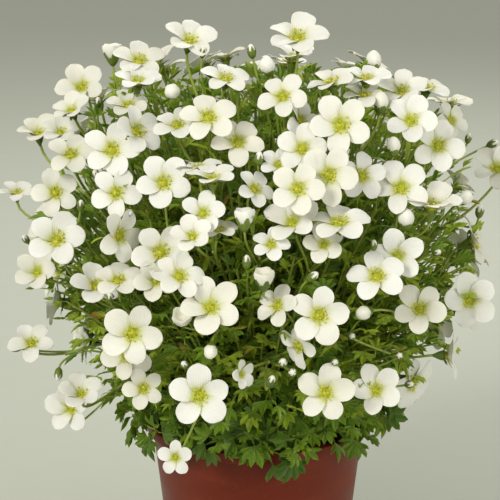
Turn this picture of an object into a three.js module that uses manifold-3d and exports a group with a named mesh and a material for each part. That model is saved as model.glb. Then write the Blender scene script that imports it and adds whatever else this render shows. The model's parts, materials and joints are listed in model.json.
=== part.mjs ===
// A mossy saxifrage in a round plastic pot: a low cushion of cut leaves, thin forking stems, and white blooms
// of five petals that stand out all round the plant as one big globe.
// Millimetres, +Z up. The origin is the middle of the pot's foot, and the plant's best side faces -Y.

import * as THREE from "three";
import { mergeVertices } from "three/addons/utils/BufferGeometryUtils.js";
import Module from "manifold-3d";

const wasm = await Module();
wasm.setup();

const UP = new THREE.Vector3(0, 0, 1);
const DEGREE = Math.PI / 180;
const GOLDEN_TURN = 137.508 * DEGREE;

// Sizes

const CLEAR = 0.3; // between pieces that touch on the real plant
const TOUCHING = 0.01; // sprays closer than this are one piece
const SMALLEST_EDGE = 0.05; // shorter edges, left where solids join, are merged
const HOLE_GROWTH = 1.1; // a stem's hole in the cushion is this much larger all round

const POT = {
  height: 88,
  topRadius: 49.3,
  footRadius: 39.5,
  wall: 1.8,
  lipRadius: 52,
  lipDepth: 5,
  lipEdge: 0.8,
};
const POT_SIDES = 36;
const DRAIN = { count: 4, radius: 4, ringRadius: 24, length: 20, sides: 6 };
const SOIL = { rimLevel: 79, crown: 1.5, crownShare: 0.6 };

// The globe that the blooms stand on, and how far above level it is seen from.
const GLOBE = { height: 176, radius: 106, lowerStretch: 0.85 };
const VIEW_RISE = 15 * DEGREE;

// The cushion: a dome that starts inside the pot, and leaves that root in it, with their tilts from upright.
const CUSHION = { middle: 98, radius: 57, rise: 26, bottomRadius: 44, overLip: 90, sides: 18 };
const DOME_TILTS = [90, 60, 32];
const ROSETTES = { leaves: 72, topTilt: 20, lowTilt: 96, root: 4, shortest: 15, longest: 25 };

// Stems and stalks. Shares are of the way from foot to blooms, or of the stem's length.
const STEM = { radius: 1, sides: 4, steps: 3, sunk: 3, footSpread: 0.33, forkShare: 0.8, arch: 0.4 };
const STALK = { radius: 0.7, rootRadius: 0.4, sides: 3, spacing: 0.04, sunk: 0.1, belowBloom: 0.6 };
const STEM_LEAF = { low: 0.35, high: 0.6, tries: 6, shortest: 12, longest: 18, rise: 0.5, droop: 0.25 };

// A bloom: five round petals in a shallow cup, on a calyx that narrows to the stalk.
// The radius and height of each point are shares of the bloom's radius, and its turn is a share of one petal.
const PETALS = 5;
const CUP = [
  { out: 0.42, height: 0.08, turn: 0 },
  { out: 0.88, height: 0.19, turn: 0.23 },
  { out: 1, height: 0.2, turn: 0.5 },
  { out: 0.88, height: 0.19, turn: 0.77 },
];
const CALYX = { radius: 0.2, height: -0.12, neck: -0.5 };

// A bud: its petals are still folded to a point over the calyx. Heights are shares of its radius.
const BUD = { sides: 4, tip: 1.1, waist: 0.1, neck: -1 };

// Leaves: a flat stalk that widens into pointed lobes. Along and across are shares of the length.
const LEAF = {
  narrow: [[0.5, 0.14], [1, 0]],
  threeLobed: [[0.7, 0.34], [0.68, 0.12], [1, 0]],
  fiveLobed: [[0.58, 0.4], [0.62, 0.2], [0.86, 0.32], [0.78, 0.1], [1, 0]],
  rib: 0.55,
  thickness: 1.2,
};

// The far side, the flanks and the crown are filled by a spiral over the globe, wherever there is room.
// A spray there takes the blooms within its reach.
const FAR_SIDE = { points: 260, lowest: -0.62, radius: 104, depth: 30, spacing: 24.5 };
const CROWN = { height: 76, share: 0.15 }; // above this height the far side rises by this share only
const FAR_SPRAY = { reach: 40, mostBlooms: 4 };
const FAR_BLOOM = { smallest: 19, largest: 27, setBack: 10, uplift: 0.5, stray: 0.7 };
const FAR_BUD = { share: 0.45, width: 9, aside: 14 };

// The sprays of the near side, placed by eye. A bloom is across, up, width, turned right, tipped up and set
// back, in millimetres and degrees. A bud is across, up, width, turned right and tipped up.
const NEAR_SPRAYS = [
  {
    blooms: [[-101, 46, 22, -10, 55, 0], [-88, 45, 20, 0, 45, 8], [-81, 34, 23, -5, 35, 0]],
    buds: [],
  },
  {
    blooms: [[-79, 66, 25, -15, 25, 3], [-82, 54, 20, -20, 45, -2]],
    buds: [[-70, 57, 5, 10, 60]],
  },
  {
    blooms: [[-52, 75, 24, 10, 45, 0], [-52, 65, 22, 10, 55, 0], [-56, 55, 20, 0, 50, 6]],
    buds: [[-66, 81, 9, -10, 75]],
  },
  {
    blooms: [[-52, 43, 24, 35, 20, 2], [-62, 35, 26, 0, 20, -2]],
    buds: [[-69, 25, 5, -30, 40]],
  },
  {
    blooms: [[-30, 83, 25, 15, 45, 0], [-14, 65, 22, 15, 50, 0]],
    buds: [[-36, 60, 8, -20, 10], [-24, 78, 5, 20, 60]],
  },
  {
    blooms: [[-21, 48, 25, 0, 30, -2], [-34, 45, 22, 0, 45, 2], [-9, 38, 24, 10, 30, 8]],
    buds: [],
  },
  {
    blooms: [[17, 84, 28, 0, 50, 0], [10, 57, 22, -5, 25, -2], [17, 47, 22, 50, 20, 6]],
    buds: [[-3, 78, 6, -30, 70], [4, 70, 8, -20, 50]],
  },
  {
    blooms: [[18, 35, 22, 0, 10, 1], [16, 18, 24, 0, 10, -4], [8, 28, 17, 0, 30, 6]],
    buds: [[0, 31, 6, 10, 50]],
  },
  {
    blooms: [[31, 64, 22, -30, 60, 3], [46, 66, 21, 0, 60, 0], [45, 59, 20, 0, 60, 5]],
    buds: [[50, 74, 8, 0, 75], [52, 55, 8, 0, 70]],
  },
  {
    blooms: [[34, 45, 28, 0, 5, -5], [29, 24, 26, -5, 5, -1], [43, 24, 22, 20, 10, 6]],
    buds: [[57, 36, 7, 0, 70]],
  },
  {
    blooms: [[62, 61, 24, -10, 45, 0], [75, 65, 22, 20, 60, 8], [65, 48, 24, -5, 20, -2]],
    buds: [],
  },
  {
    blooms: [[88, 60, 26, 15, 75, 0], [77, 38, 25, 15, 10, -2], [86, 51, 18, 40, 20, 8]],
    buds: [[96, 44, 5, 20, 60], [108, 42, 6, 60, 20]],
  },
  {
    blooms: [[110, 30, 24, -10, 30, 0]],
    buds: [[89, 15, 7, 50, 30], [98, 10, 6, 10, 60]],
  },
  {
    blooms: [[60, 19, 26, 0, 20, 3], [73, 11, 27, 10, 65, -4]],
    buds: [[62, 5, 8, 0, 60]],
  },
  {
    blooms: [[-111, 19, 18, 0, 60, 0], [-88, 18, 22, 0, 5, 0]],
    buds: [[-76, 12, 5, 10, 60]],
  },
  {
    blooms: [[-60, 17, 22, 0, 10, 0], [-59, -1, 24, 45, 0, -2]],
    buds: [[-55, 8, 5, 40, 20]],
  },
  {
    blooms: [[-87, -3, 28, 0, 25, -2], [-97, -17, 22, -10, 20, -3]],
    buds: [[-107, -2, 5, -30, 40]],
  },
  {
    blooms: [[-59, -20, 22, 0, 45, -2], [-69, -23, 24, 10, 40, 4]],
    buds: [[-63, -27, 5, 0, 40]],
  },
  {
    blooms: [
      [-40, 21, 25, 0, 15, 5], [-41, -8, 25, 0, 15, 6],
      [-43, -20, 20, 0, 10, 2], [-33, -18, 23, 20, 25, -4],
    ],
    buds: [],
  },
  {
    blooms: [
      [-19, 22, 22, 0, 65, -3], [-25, 27, 20, -20, 75, 4], [-23, 8, 20, 0, 20, 0],
      [-27, -2, 20, -10, 30, -6], [-17, 1, 18, 20, 60, 4],
    ],
    buds: [],
  },
  {
    blooms: [[-2, 18, 18, 30, 30, 4], [5, -5, 17, 0, 40, 0]],
    buds: [[-6, 5, 9, 0, 75], [-5, -12, 6, 0, 75], [2, -20, 9, 0, 65]],
  },
  {
    blooms: [[-20, -31, 28, 0, 25, -2]],
    buds: [[-32, -36, 9, 0, 30], [-20, -48, 7, -10, -50]],
  },
  {
    blooms: [[14, 4, 25, -10, 35, 5], [33, 4, 27, 0, 55, -2], [27, -5, 20, 0, 20, 4]],
    buds: [],
  },
  {
    blooms: [[8, -30, 20, -30, 20, 6], [25, -34, 26, 0, 5, -2]],
    buds: [[22, -18, 6, 50, 30]],
  },
  {
    blooms: [[58, -10, 26, 0, 5, 2], [49, -18, 25, -5, 30, -5]],
    buds: [[76, -8, 5, 30, 10], [48, -5, 5, 0, 60]],
  },
  {
    blooms: [[68, -32, 24, 0, 15, -2], [92, -29, 27, 5, 5, 0]],
    buds: [[45, -33, 7, -50, -10]],
  },
  {
    blooms: [[-104, -50, 22, -10, 40, 0]],
    buds: [[-112, -52, 6, -60, 10], [-92, -64, 6, -10, -70]],
  },
  {
    blooms: [[-53, -42, 27, 0, 0, -4], [-56, -52, 22, 0, 0, 4], [-49, -66, 19, 0, 5, 2]],
    buds: [],
  },
  {
    blooms: [[-86, -80, 25, -20, 0, 4], [-78, -71, 23, 0, 40, -4]],
    buds: [[-84, -86, 5, -20, 10]],
  },
  {
    blooms: [[-36, -97, 16, -10, 0, 0], [-25, -68, 27, 5, 0, -3]],
    buds: [[-31, -55, 5, -20, 20]],
  },
  {
    blooms: [[-8, -59, 14, 50, 0, 5], [17, -47, 20, -50, -20, 6]],
    buds: [[10, -54, 6, 0, 20], [14, -58, 6, 0, 0], [5, -62, 6, 30, 50]],
  },
  {
    blooms: [[28, -67, 25, 0, 5, -2], [50, -67, 25, 0, 15, 0]],
    buds: [[65, -65, 5, 30, 10], [60, -52, 5, 0, 10], [32, -54, 5, 0, 10]],
  },
  {
    blooms: [[82, -53, 22, 80, 0, 0]],
    buds: [[39, -43, 5, 0, 10]],
  },
];

const BUD_SET_BACK = 2;

const COLOURS = { pot: 0x652616, soil: 0x2a1d14, leaves: 0x567024, sprays: 0xe9ead9 };
const ROUGHNESS = { pot: 0.6, soil: 0.95, leaves: 0.6, sprays: 0.6 };

// Numbers

// A seeded draw from 0 to 1, the same for the same pair of numbers.
const draw = (seed, k) => {
  const wave = Math.sin(seed * 12.9898 + k * 78.233) * 43758.5453;
  return wave - Math.floor(wave);
};
const between = (low, high, share) => low + (high - low) * share;

// Solids for cutting and joining, and back

// A closed geometry as a solid. Its vertices are merged, and its faces are turned outwards.
function solidOf(geometry) {
  const bare = geometry.index ? geometry.toNonIndexed() : geometry.clone();
  for (const name of Object.keys(bare.attributes)) if (name !== "position") bare.deleteAttribute(name);
  const merged = mergeVertices(bare, 1e-4);
  const build = (triVerts) =>
    new wasm.Manifold(
      new wasm.Mesh({ numProp: 3, vertProperties: merged.attributes.position.array, triVerts }),
    );
  const faces = new Uint32Array(merged.index.array);
  const made = build(faces);
  if (made.volume() > 0) return made;
  for (let i = 0; i < faces.length; i += 3) [faces[i + 1], faces[i + 2]] = [faces[i + 2], faces[i + 1]];
  return build(faces);
}

function geometryOf(solid) {
  const mesh = solid.getMesh();
  const position = new THREE.BufferAttribute(new Float32Array(mesh.vertProperties), 3);
  const geometry = new THREE.BufferGeometry().setAttribute("position", position);
  geometry.setIndex(new THREE.BufferAttribute(mesh.triVerts, 1));
  return geometry;
}

const joined = (solids) => wasm.Manifold.union(solids);
const tidied = (solid) => solid.asOriginal().simplify(SMALLEST_EDGE);
const largest = (solid) => solid.decompose().sort((a, b) => b.volume() - a.volume())[0];

function boxesMeet(solid, other, gap) {
  const [a, b] = [solid.boundingBox(), other.boundingBox()];
  return [0, 1, 2].every((axis) => a.min[axis] < b.max[axis] + gap && b.min[axis] < a.max[axis] + gap);
}
const isClear = (solid, others, gap = CLEAR) =>
  others.every((other) => !boxesMeet(solid, other, gap) || solid.minGap(other, 2 * gap) > gap);

// A geometry from corners and triangles that name them.
function facets(corners, triangles) {
  const geometry = new THREE.BufferGeometry().setFromPoints(corners);
  geometry.setIndex(triangles.flat());
  return geometry;
}

// The matrix that puts local +Z along a direction at a place, turned about it.
function standing(place, direction, turn = 0) {
  const aim = new THREE.Quaternion().setFromUnitVectors(UP, direction);
  const spin = new THREE.Quaternion().setFromAxisAngle(UP, turn);
  return new THREE.Matrix4().compose(place, aim.multiply(spin), new THREE.Vector3(1, 1, 1));
}

// The pot: thin plastic, with a thick lip, a tapered wall and a flat floor with drain holes

function turned(profile, sides) {
  const points = profile.map(([r, z]) => new THREE.Vector2(r, z));
  return new THREE.LatheGeometry(points, sides).rotateX(Math.PI / 2);
}

function makePot() {
  const { height, lipRadius, lipDepth, lipEdge, topRadius, footRadius, wall } = POT;
  const body = turned(
    [
      [0, 0],
      [footRadius, 0],
      [topRadius, height - lipDepth],
      [lipRadius, height - lipDepth],
      [lipRadius, height - lipEdge],
      [lipRadius - lipEdge, height],
      [topRadius - wall, height],
      [footRadius - wall, wall],
      [0, wall],
    ],
    POT_SIDES,
  );
  const holes = Array.from({ length: DRAIN.count }, (_, i) => {
    const angle = ((i + 0.5) / DRAIN.count) * 2 * Math.PI;
    const { radius, ringRadius, length, sides } = DRAIN;
    const hole = new THREE.CylinderGeometry(radius, radius, length, sides).rotateX(Math.PI / 2);
    return solidOf(hole.translate(ringRadius * Math.cos(angle), ringRadius * Math.sin(angle), 0));
  });
  return solidOf(body).subtract(joined(holes));
}

// The soil: it fills the pot to a finger's width under the lip, with a low crown

function makeSoil() {
  const floor = POT.wall + CLEAR;
  const inside = (z) => {
    const share = (z - POT.wall) / (POT.height - POT.wall);
    return between(POT.footRadius - POT.wall, POT.topRadius - POT.wall, share) - 2 * CLEAR;
  };
  return solidOf(
    turned(
      [
        [0, floor],
        [inside(floor), floor],
        [inside(SOIL.rimLevel), SOIL.rimLevel],
        [inside(SOIL.rimLevel) * SOIL.crownShare, SOIL.rimLevel + SOIL.crown],
        [0, SOIL.rimLevel + SOIL.crown],
      ],
      POT_SIDES / 2,
    ),
  );
}

// The globe of blooms: places are given as the plant is seen from the front and a little above

const RIGHT = new THREE.Vector3(1, 0, 0);
const VIEW_UP = new THREE.Vector3(0, Math.sin(VIEW_RISE), Math.cos(VIEW_RISE));
const TO_VIEWER = new THREE.Vector3(0, -Math.cos(VIEW_RISE), Math.sin(VIEW_RISE));
const MIDDLE = new THREE.Vector3(0, 0, GLOBE.height);

// The point of the globe's near side that is seen so far across and up, set back into the globe.
function onGlobe(across, up, back) {
  const rise = up > 0 ? up : up * GLOBE.lowerStretch;
  const near = Math.sqrt(Math.max(GLOBE.radius ** 2 - across ** 2 - rise ** 2, 0)) - back;
  return MIDDLE.clone()
    .addScaledVector(RIGHT, across)
    .addScaledVector(VIEW_UP, up)
    .addScaledVector(TO_VIEWER, near);
}

// A direction that is turned to the right and tipped up from facing the viewer.
function facing(turn, tip) {
  return TO_VIEWER.clone()
    .multiplyScalar(Math.cos(tip * DEGREE) * Math.cos(turn * DEGREE))
    .addScaledVector(RIGHT, Math.cos(tip * DEGREE) * Math.sin(turn * DEGREE))
    .addScaledVector(VIEW_UP, Math.sin(tip * DEGREE));
}

const bloomOf = ([across, up, width, turn, tip, back], seed) => ({
  place: onGlobe(across, up, back),
  aim: facing(turn, tip),
  radius: width / 2,
  spin: 72 * DEGREE * draw(seed, 1),
});
const budOf = ([across, up, width, turn, tip]) => ({
  place: onGlobe(across, up, BUD_SET_BACK),
  aim: facing(turn, tip),
  radius: width / 2,
});

const nearSprays = NEAR_SPRAYS.map(({ blooms, buds }, i) => ({
  blooms: blooms.map((row, j) => bloomOf(row, 10 * i + j)),
  buds: buds.map(budOf),
}));

// The blooms at the spiral's points that are behind the near ones and clear of them.
function farBlooms() {
  const { points, lowest, radius, depth, spacing } = FAR_SIDE;
  const { smallest, largest, setBack, uplift, stray } = FAR_BLOOM;
  const taken = nearSprays.flatMap(({ blooms }) => blooms);
  const added = [];
  for (let i = 0; i < points; i += 1) {
    const height = between(0.99, lowest, (i + 0.5) / points);
    const turn = i * GOLDEN_TURN;
    const out = Math.sqrt(1 - height ** 2);
    const normal = new THREE.Vector3(out * Math.cos(turn), out * Math.sin(turn), height);
    const place = MIDDLE.clone().addScaledVector(normal, radius - setBack * draw(i, 11));
    const over = place.clone().sub(MIDDLE).dot(VIEW_UP) - CROWN.height;
    if (over > 0) place.addScaledVector(VIEW_UP, (CROWN.share - 1) * over);
    if (normal.dot(TO_VIEWER) * radius > depth) continue;
    if ([...taken, ...added].some((other) => other.place.distanceTo(place) < spacing)) continue;
    const strayed = new THREE.Vector3(draw(i, 12) - 0.5, draw(i, 13) - 0.5, draw(i, 14) - 0.5);
    const aim = normal.clone().addScaledVector(UP, uplift).addScaledVector(strayed, stray).normalize();
    const width = between(smallest, largest, draw(i, 15));
    added.push({ place, aim, radius: width / 2, spin: 72 * DEGREE * draw(i, 16) });
  }
  return added;
}

const farSprays = [];
for (const [i, bloom] of farBlooms().entries()) {
  const isHome = ({ blooms }) =>
    blooms.length < FAR_SPRAY.mostBlooms && blooms[0].place.distanceTo(bloom.place) < FAR_SPRAY.reach;
  const home = farSprays.find(isHome) ?? { blooms: [], buds: [] };
  if (home.blooms.length === 0) farSprays.push(home);
  home.blooms.push(bloom);
  if (draw(i, 17) > FAR_BUD.share) continue;
  const aside = new THREE.Vector3().crossVectors(bloom.aim, UP).normalize().multiplyScalar(FAR_BUD.aside);
  home.buds.push({ place: bloom.place.clone().add(aside), aim: bloom.aim, radius: FAR_BUD.width / 2 });
}

// A spray: one stem from a rosette of the cushion, with a stalk to each bloom and bud from near its top

const domeHeight = (out) => CUSHION.middle + CUSHION.rise * Math.sqrt(1 - (out / CUSHION.radius) ** 2);

function stemPath({ blooms }) {
  const middle = new THREE.Vector3();
  for (const { place, aim, radius } of blooms) {
    middle.add(place).addScaledVector(aim, -STALK.belowBloom * radius);
  }
  middle.divideScalar(blooms.length);
  const { sunk, footSpread, forkShare, arch } = STEM;
  const foot = new THREE.Vector3(middle.x * footSpread, middle.y * footSpread, 0);
  foot.z = domeHeight(foot.length()) - sunk;
  const fork = foot.clone().lerp(middle, forkShare);
  const rise = foot.clone().addScaledVector(UP, arch * fork.distanceTo(foot));
  return new THREE.QuadraticBezierCurve3(foot, rise, fork);
}

function stemTube(path, radius) {
  const section = new THREE.Shape(
    Array.from({ length: STEM.sides }, (_, i) => {
      const angle = (i / STEM.sides) * 2 * Math.PI;
      return new THREE.Vector2(Math.cos(angle), Math.sin(angle)).multiplyScalar(radius);
    }),
  );
  const settings = { steps: STEM.steps, extrudePath: path, bevelEnabled: false };
  return solidOf(new THREE.ExtrudeGeometry(section, settings));
}

// A ring of corners round an axis, its radius measured square to it.
function ring(centre, axis, radius, sides, turn) {
  const frame = standing(centre, axis, turn);
  return Array.from({ length: sides }, (_, i) => {
    const angle = (i / sides) * 2 * Math.PI;
    return new THREE.Vector3(radius * Math.cos(angle), radius * Math.sin(angle), 0).applyMatrix4(frame);
  });
}

// The faces between a ring and the next one down. The two may have different numbers of corners.
function band(upper, upperCount, lower, lowerCount) {
  const triangles = [];
  let [i, j] = [0, 0];
  while (i < upperCount || j < lowerCount) {
    const [a, b] = [upper + (i % upperCount), lower + (j % lowerCount)];
    if (j === lowerCount || (i < upperCount && (i + 1) / upperCount <= (j + 1) / lowerCount)) {
      triangles.push([a, b, upper + ((i + 1) % upperCount)]);
      i += 1;
    } else {
      triangles.push([a, b, lower + ((j + 1) % lowerCount)]);
      j += 1;
    }
  }
  return triangles;
}

// Closes a growth below: from its last ring to a thin neck, and down a stalk to its root in the stem.
function addStalk(corners, triangles, { place, aim, spin, count, neckHeight, root }) {
  const last = corners.length - count;
  const neck = place.clone().addScaledVector(aim, neckHeight);
  const lead = neck.clone().sub(root).normalize();
  const bend = aim.clone().add(lead).normalize();
  const { radius, rootRadius, sides, sunk } = STALK;
  const [neckFirst, rootFirst] = [corners.length, corners.length + sides];
  corners.push(...ring(neck, bend, radius, sides, spin));
  corners.push(...ring(root.clone().addScaledVector(lead, -sunk), lead, rootRadius, sides, spin));
  triangles.push(...band(last, count, neckFirst, sides), ...band(neckFirst, sides, rootFirst, sides));
  triangles.push([rootFirst, rootFirst + 2, rootFirst + 1]);
}

// The bloom: five round petals in a shallow cup, on a calyx that narrows to the stalk.
function bloomSolid({ place, aim, radius, spin }, root) {
  const frame = standing(place, aim, spin);
  const petalTurn = (2 * Math.PI) / PETALS;
  const corners = [place.clone()];
  for (let petal = 0; petal < PETALS; petal += 1) {
    for (const { out, height, turn } of CUP) {
      const angle = (petal + turn) * petalTurn;
      const corner = new THREE.Vector3(out * Math.cos(angle), out * Math.sin(angle), height);
      corners.push(corner.multiplyScalar(radius).applyMatrix4(frame));
    }
  }
  const edge = CUP.length * PETALS;
  const triangles = Array.from({ length: edge }, (_, i) => [0, 1 + i, 1 + ((i + 1) % edge)]);
  const calyx = corners.length;
  const calyxMiddle = place.clone().addScaledVector(aim, CALYX.height * radius);
  corners.push(...ring(calyxMiddle, aim, CALYX.radius * radius, PETALS, spin));
  triangles.push(...band(1, edge, calyx, PETALS));
  const neckHeight = CALYX.neck * radius;
  addStalk(corners, triangles, { place, aim, spin, count: PETALS, neckHeight, root });
  return solidOf(facets(corners, triangles));
}

function budSolid({ place, aim, radius }, root) {
  const corners = [place.clone().addScaledVector(aim, BUD.tip * radius)];
  corners.push(...ring(place.clone().addScaledVector(aim, BUD.waist * radius), aim, radius, BUD.sides, 0));
  const triangles = Array.from({ length: BUD.sides }, (_, i) => [0, 1 + i, 1 + ((i + 1) % BUD.sides)]);
  const neckHeight = BUD.neck * radius;
  addStalk(corners, triangles, { place, aim, spin: 0, count: BUD.sides, neckHeight, root });
  return solidOf(facets(corners, triangles));
}

// The point of the stem's straight lengths at a share of the whole.
function onStem(path, share) {
  const length = Math.min(Math.floor(share * STEM.steps), STEM.steps - 1);
  const [from, to] = [length, length + 1].map((k) => path.getPointAt(k / STEM.steps));
  return from.lerp(to, share * STEM.steps - length);
}

// What a spray carries: its blooms and buds, each on its own stalk.
function headSolid({ blooms, buds, path }) {
  const root = (i) => onStem(path, 1 - STALK.spacing * (i + 1));
  return joined([
    ...blooms.map((growth, i) => bloomSolid(growth, root(i))),
    ...buds.map((growth, i) => budSolid(growth, root(blooms.length + i))),
  ]);
}

// A leaf that grows from a root along a direction, turned face up, and droops by a share of its length.
function leafSolid(outline, root, direction, length, droop) {
  const across = new THREE.Vector3().crossVectors(direction, UP).normalize();
  const face = new THREE.Vector3().crossVectors(across, direction).normalize();
  const at = (along, aside, lift = 0) =>
    root
      .clone()
      .addScaledVector(direction, along * length)
      .addScaledVector(across, aside * length)
      .addScaledVector(face, lift)
      .addScaledVector(UP, -droop * length * along ** 2);
  const oneSide = outline.map(([along, aside]) => at(along, aside));
  const otherSide = outline.slice(0, -1).map(([along, aside]) => at(along, -aside));
  const edge = [root.clone(), ...oneSide, ...otherSide.reverse()];
  const [over, under] = [edge.length, edge.length + 1];
  const triangles = edge.flatMap((_, i) => {
    const next = (i + 1) % edge.length;
    return [[over, i, next], [under, next, i]];
  });
  const rib = [LEAF.thickness / 2, -LEAF.thickness / 2].map((lift) => at(LEAF.rib, 0, lift));
  return solidOf(facets([...edge, ...rib], triangles));
}

// The leaf cushion: a low dome packed with rosettes, whose lowest leaves hang over the pot's lip

function cushionCore() {
  const floor = SOIL.rimLevel + SOIL.crown + CLEAR;
  const { middle, radius, rise, bottomRadius, overLip, sides } = CUSHION;
  const dome = DOME_TILTS.map((degrees) => {
    const tilt = degrees * DEGREE;
    return [radius * Math.sin(tilt), middle + rise * Math.cos(tilt)];
  });
  const foot = [[0, floor], [bottomRadius, floor], [bottomRadius, overLip]];
  return solidOf(turned([...foot, ...dome, [0, middle + rise]], sides));
}

function cushionLeaves(avoid) {
  const { leaves, topTilt, lowTilt, root, shortest, longest } = ROSETTES;
  const [high, low] = [topTilt, lowTilt].map((tilt) => Math.cos(tilt * DEGREE));
  return Array.from({ length: leaves }, (_, i) => {
    const tilt = Math.acos(between(high, low, (i + 0.5) / leaves));
    const turn = i * GOLDEN_TURN;
    const round = new THREE.Vector3(Math.cos(turn), Math.sin(turn), 0);
    const normal = round.clone().multiplyScalar(Math.sin(tilt)).addScaledVector(UP, Math.cos(tilt));
    const place = round.clone().multiplyScalar(CUSHION.radius * Math.sin(tilt));
    place.z = CUSHION.middle + CUSHION.rise * Math.cos(tilt);
    place.addScaledVector(normal, -root);
    const lean = normal.clone().addScaledVector(UP, between(0.1, 0.4, draw(i, 2))).normalize();
    const length = between(shortest, longest, draw(i, 3)) + root;
    const droop = between(0.1, 0.95, (i / leaves) ** 2);
    const outline = i % 3 === 0 ? LEAF.fiveLobed : LEAF.threeLobed;
    return leafSolid(outline, place, lean, length, droop);
  }).filter((leaf) => isClear(leaf, avoid));
}

// The leaf of a stem: it tries one turn after another round it, and is left out where it finds no room.
function stemLeaf(path, seed, avoid) {
  const { low, high, tries, shortest, longest, rise, droop } = STEM_LEAF;
  const root = onStem(path, between(low, high, draw(seed, 4)));
  const length = between(shortest, longest, draw(seed, 5));
  const outline = seed % 2 === 0 ? LEAF.threeLobed : LEAF.narrow;
  for (let attempt = 0; attempt < tries; attempt += 1) {
    const turn = 2 * Math.PI * (draw(seed, 6) + attempt / tries);
    const direction = new THREE.Vector3(Math.cos(turn), Math.sin(turn), rise).normalize();
    const leaf = leafSolid(outline, root, direction, length, droop);
    if (isClear(leaf, avoid)) return [leaf];
  }
  return [];
}

// The plant is put together. Sprays whose blooms meet are one piece.

const sprays = [...nearSprays, ...farSprays].map((spray) => ({ ...spray, path: stemPath(spray) }));
const pot = makePot();
const soil = makeSoil();
const heads = sprays.map(headSolid);
const holeRadius = STEM.radius + HOLE_GROWTH;
const stemHoles = sprays.map(({ path }) => stemTube(path, holeRadius).translate([0, 0, -CLEAR]));
const rosettes = joined([cushionCore(), ...cushionLeaves([pot, ...heads])]);
const cushion = largest(tidied(rosettes.subtract(joined(stemHoles))));
const bareSprays = sprays.map(({ path }, i) => joined([stemTube(path, STEM.radius), heads[i]]));
const leafySprays = bareSprays.map((spray, i) => {
  const others = [cushion, ...bareSprays.filter((_, k) => k !== i)];
  return tidied(joined([spray, ...stemLeaf(sprays[i].path, i, others)]));
});

const groups = [];
for (const spray of leafySprays) {
  const met = groups.filter((group) => !isClear(spray, group, TOUCHING));
  for (const group of met) groups.splice(groups.indexOf(group), 1);
  groups.push([...met.flat(), spray]);
}

const plant = new THREE.Group();

function addPiece(name, solid, kind) {
  const look = { color: COLOURS[kind], roughness: ROUGHNESS[kind], metalness: 0 };
  const material = new THREE.MeshStandardMaterial(look);
  const mesh = new THREE.Mesh(geometryOf(solid), material);
  mesh.name = name;
  plant.add(mesh);
}

addPiece("pot", pot, "pot");
addPiece("soil", soil, "soil");
addPiece("leaf_cushion", cushion, "leaves");
groups.forEach((group, i) => addPiece(`spray_${String(i + 1).padStart(2, "0")}`, joined(group), "sprays"));

export default plant;
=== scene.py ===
import json
import math

import bpy
import numpy as np
from mathutils import Matrix, Quaternion, Vector

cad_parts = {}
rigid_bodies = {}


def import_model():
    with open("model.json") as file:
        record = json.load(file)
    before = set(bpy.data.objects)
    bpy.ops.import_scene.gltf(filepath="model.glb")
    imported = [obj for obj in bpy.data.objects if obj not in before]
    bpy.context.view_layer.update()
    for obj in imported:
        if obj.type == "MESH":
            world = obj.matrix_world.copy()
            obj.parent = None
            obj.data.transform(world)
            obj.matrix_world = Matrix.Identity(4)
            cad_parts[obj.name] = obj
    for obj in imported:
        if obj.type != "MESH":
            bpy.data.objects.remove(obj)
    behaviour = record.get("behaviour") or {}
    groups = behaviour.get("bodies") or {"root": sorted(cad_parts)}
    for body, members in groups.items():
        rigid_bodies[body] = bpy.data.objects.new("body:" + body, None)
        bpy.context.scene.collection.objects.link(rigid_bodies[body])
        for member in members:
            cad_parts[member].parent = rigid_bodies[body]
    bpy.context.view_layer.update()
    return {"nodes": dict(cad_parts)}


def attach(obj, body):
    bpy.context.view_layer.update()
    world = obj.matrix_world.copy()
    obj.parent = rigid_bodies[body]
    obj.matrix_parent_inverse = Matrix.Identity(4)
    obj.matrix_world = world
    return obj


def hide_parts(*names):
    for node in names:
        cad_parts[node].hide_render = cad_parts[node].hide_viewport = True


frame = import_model()

# The pot
# A nursery pot moulded in one piece of clay-red plastic, with a thin tapered wall, a thicker lip,
# and four drain holes in its flat floor. It is satin, with faint flow marks and dust from the bench.
MM = 0.001
POT = {"height": 88, "top": 49.3, "foot": 39.5, "wall": 1.8, "lip": 52, "lip depth": 5}
POT_ROUNDING = {"foot": 2.2, "lip": 1.1, "under lip": 0.7, "inside": 1.5}
POT_SIDES = 128
DRAIN = {"count": 4, "radius": 4, "ring": 24, "depth": 12, "sides": 24}
POT_RED = (0.14, 0.016, 0.004, 1)
POT_FADED = (0.17, 0.024, 0.008, 1)
POT_DUST = (0.2, 0.06, 0.03, 1)


def rounded(corners, steps=5):
    """A profile's points, from corners of (radius, height, rounding)."""
    points = []
    for i, (across, up, rounding) in enumerate(corners):
        corner = Vector((across, up))
        if not rounding:
            points.append(corner)
            continue
        start = corner + (Vector(corners[i - 1][:2]) - corner).normalized() * rounding
        end = corner + (Vector(corners[i + 1][:2]) - corner).normalized() * rounding
        for step in range(steps + 1):
            t = step / steps
            points.append(start * (1 - t) ** 2 + corner * 2 * t * (1 - t) + end * t * t)
    return points


def turned(profile, sides):
    """Corners and faces of a body turned from a profile that starts and ends on its axis."""
    rings = profile[1:-1]
    corners = [(0, 0, profile[0].y)]
    for across, up in rings:
        for side in range(sides):
            angle = 2 * math.pi * side / sides
            corners.append((across * math.cos(angle), across * math.sin(angle), up))
    corners.append((0, 0, profile[-1].y))
    last = len(corners) - 1
    faces = []
    for side in range(sides):
        after = (side + 1) % sides
        faces.append((0, 1 + after, 1 + side))
        for ring in range(len(rings) - 1):
            low, high = 1 + ring * sides, 1 + (ring + 1) * sides
            faces.append((low + side, low + after, high + after, high + side))
        faces.append((last, last - sides + side, last - sides + after))
    return corners, faces


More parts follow.
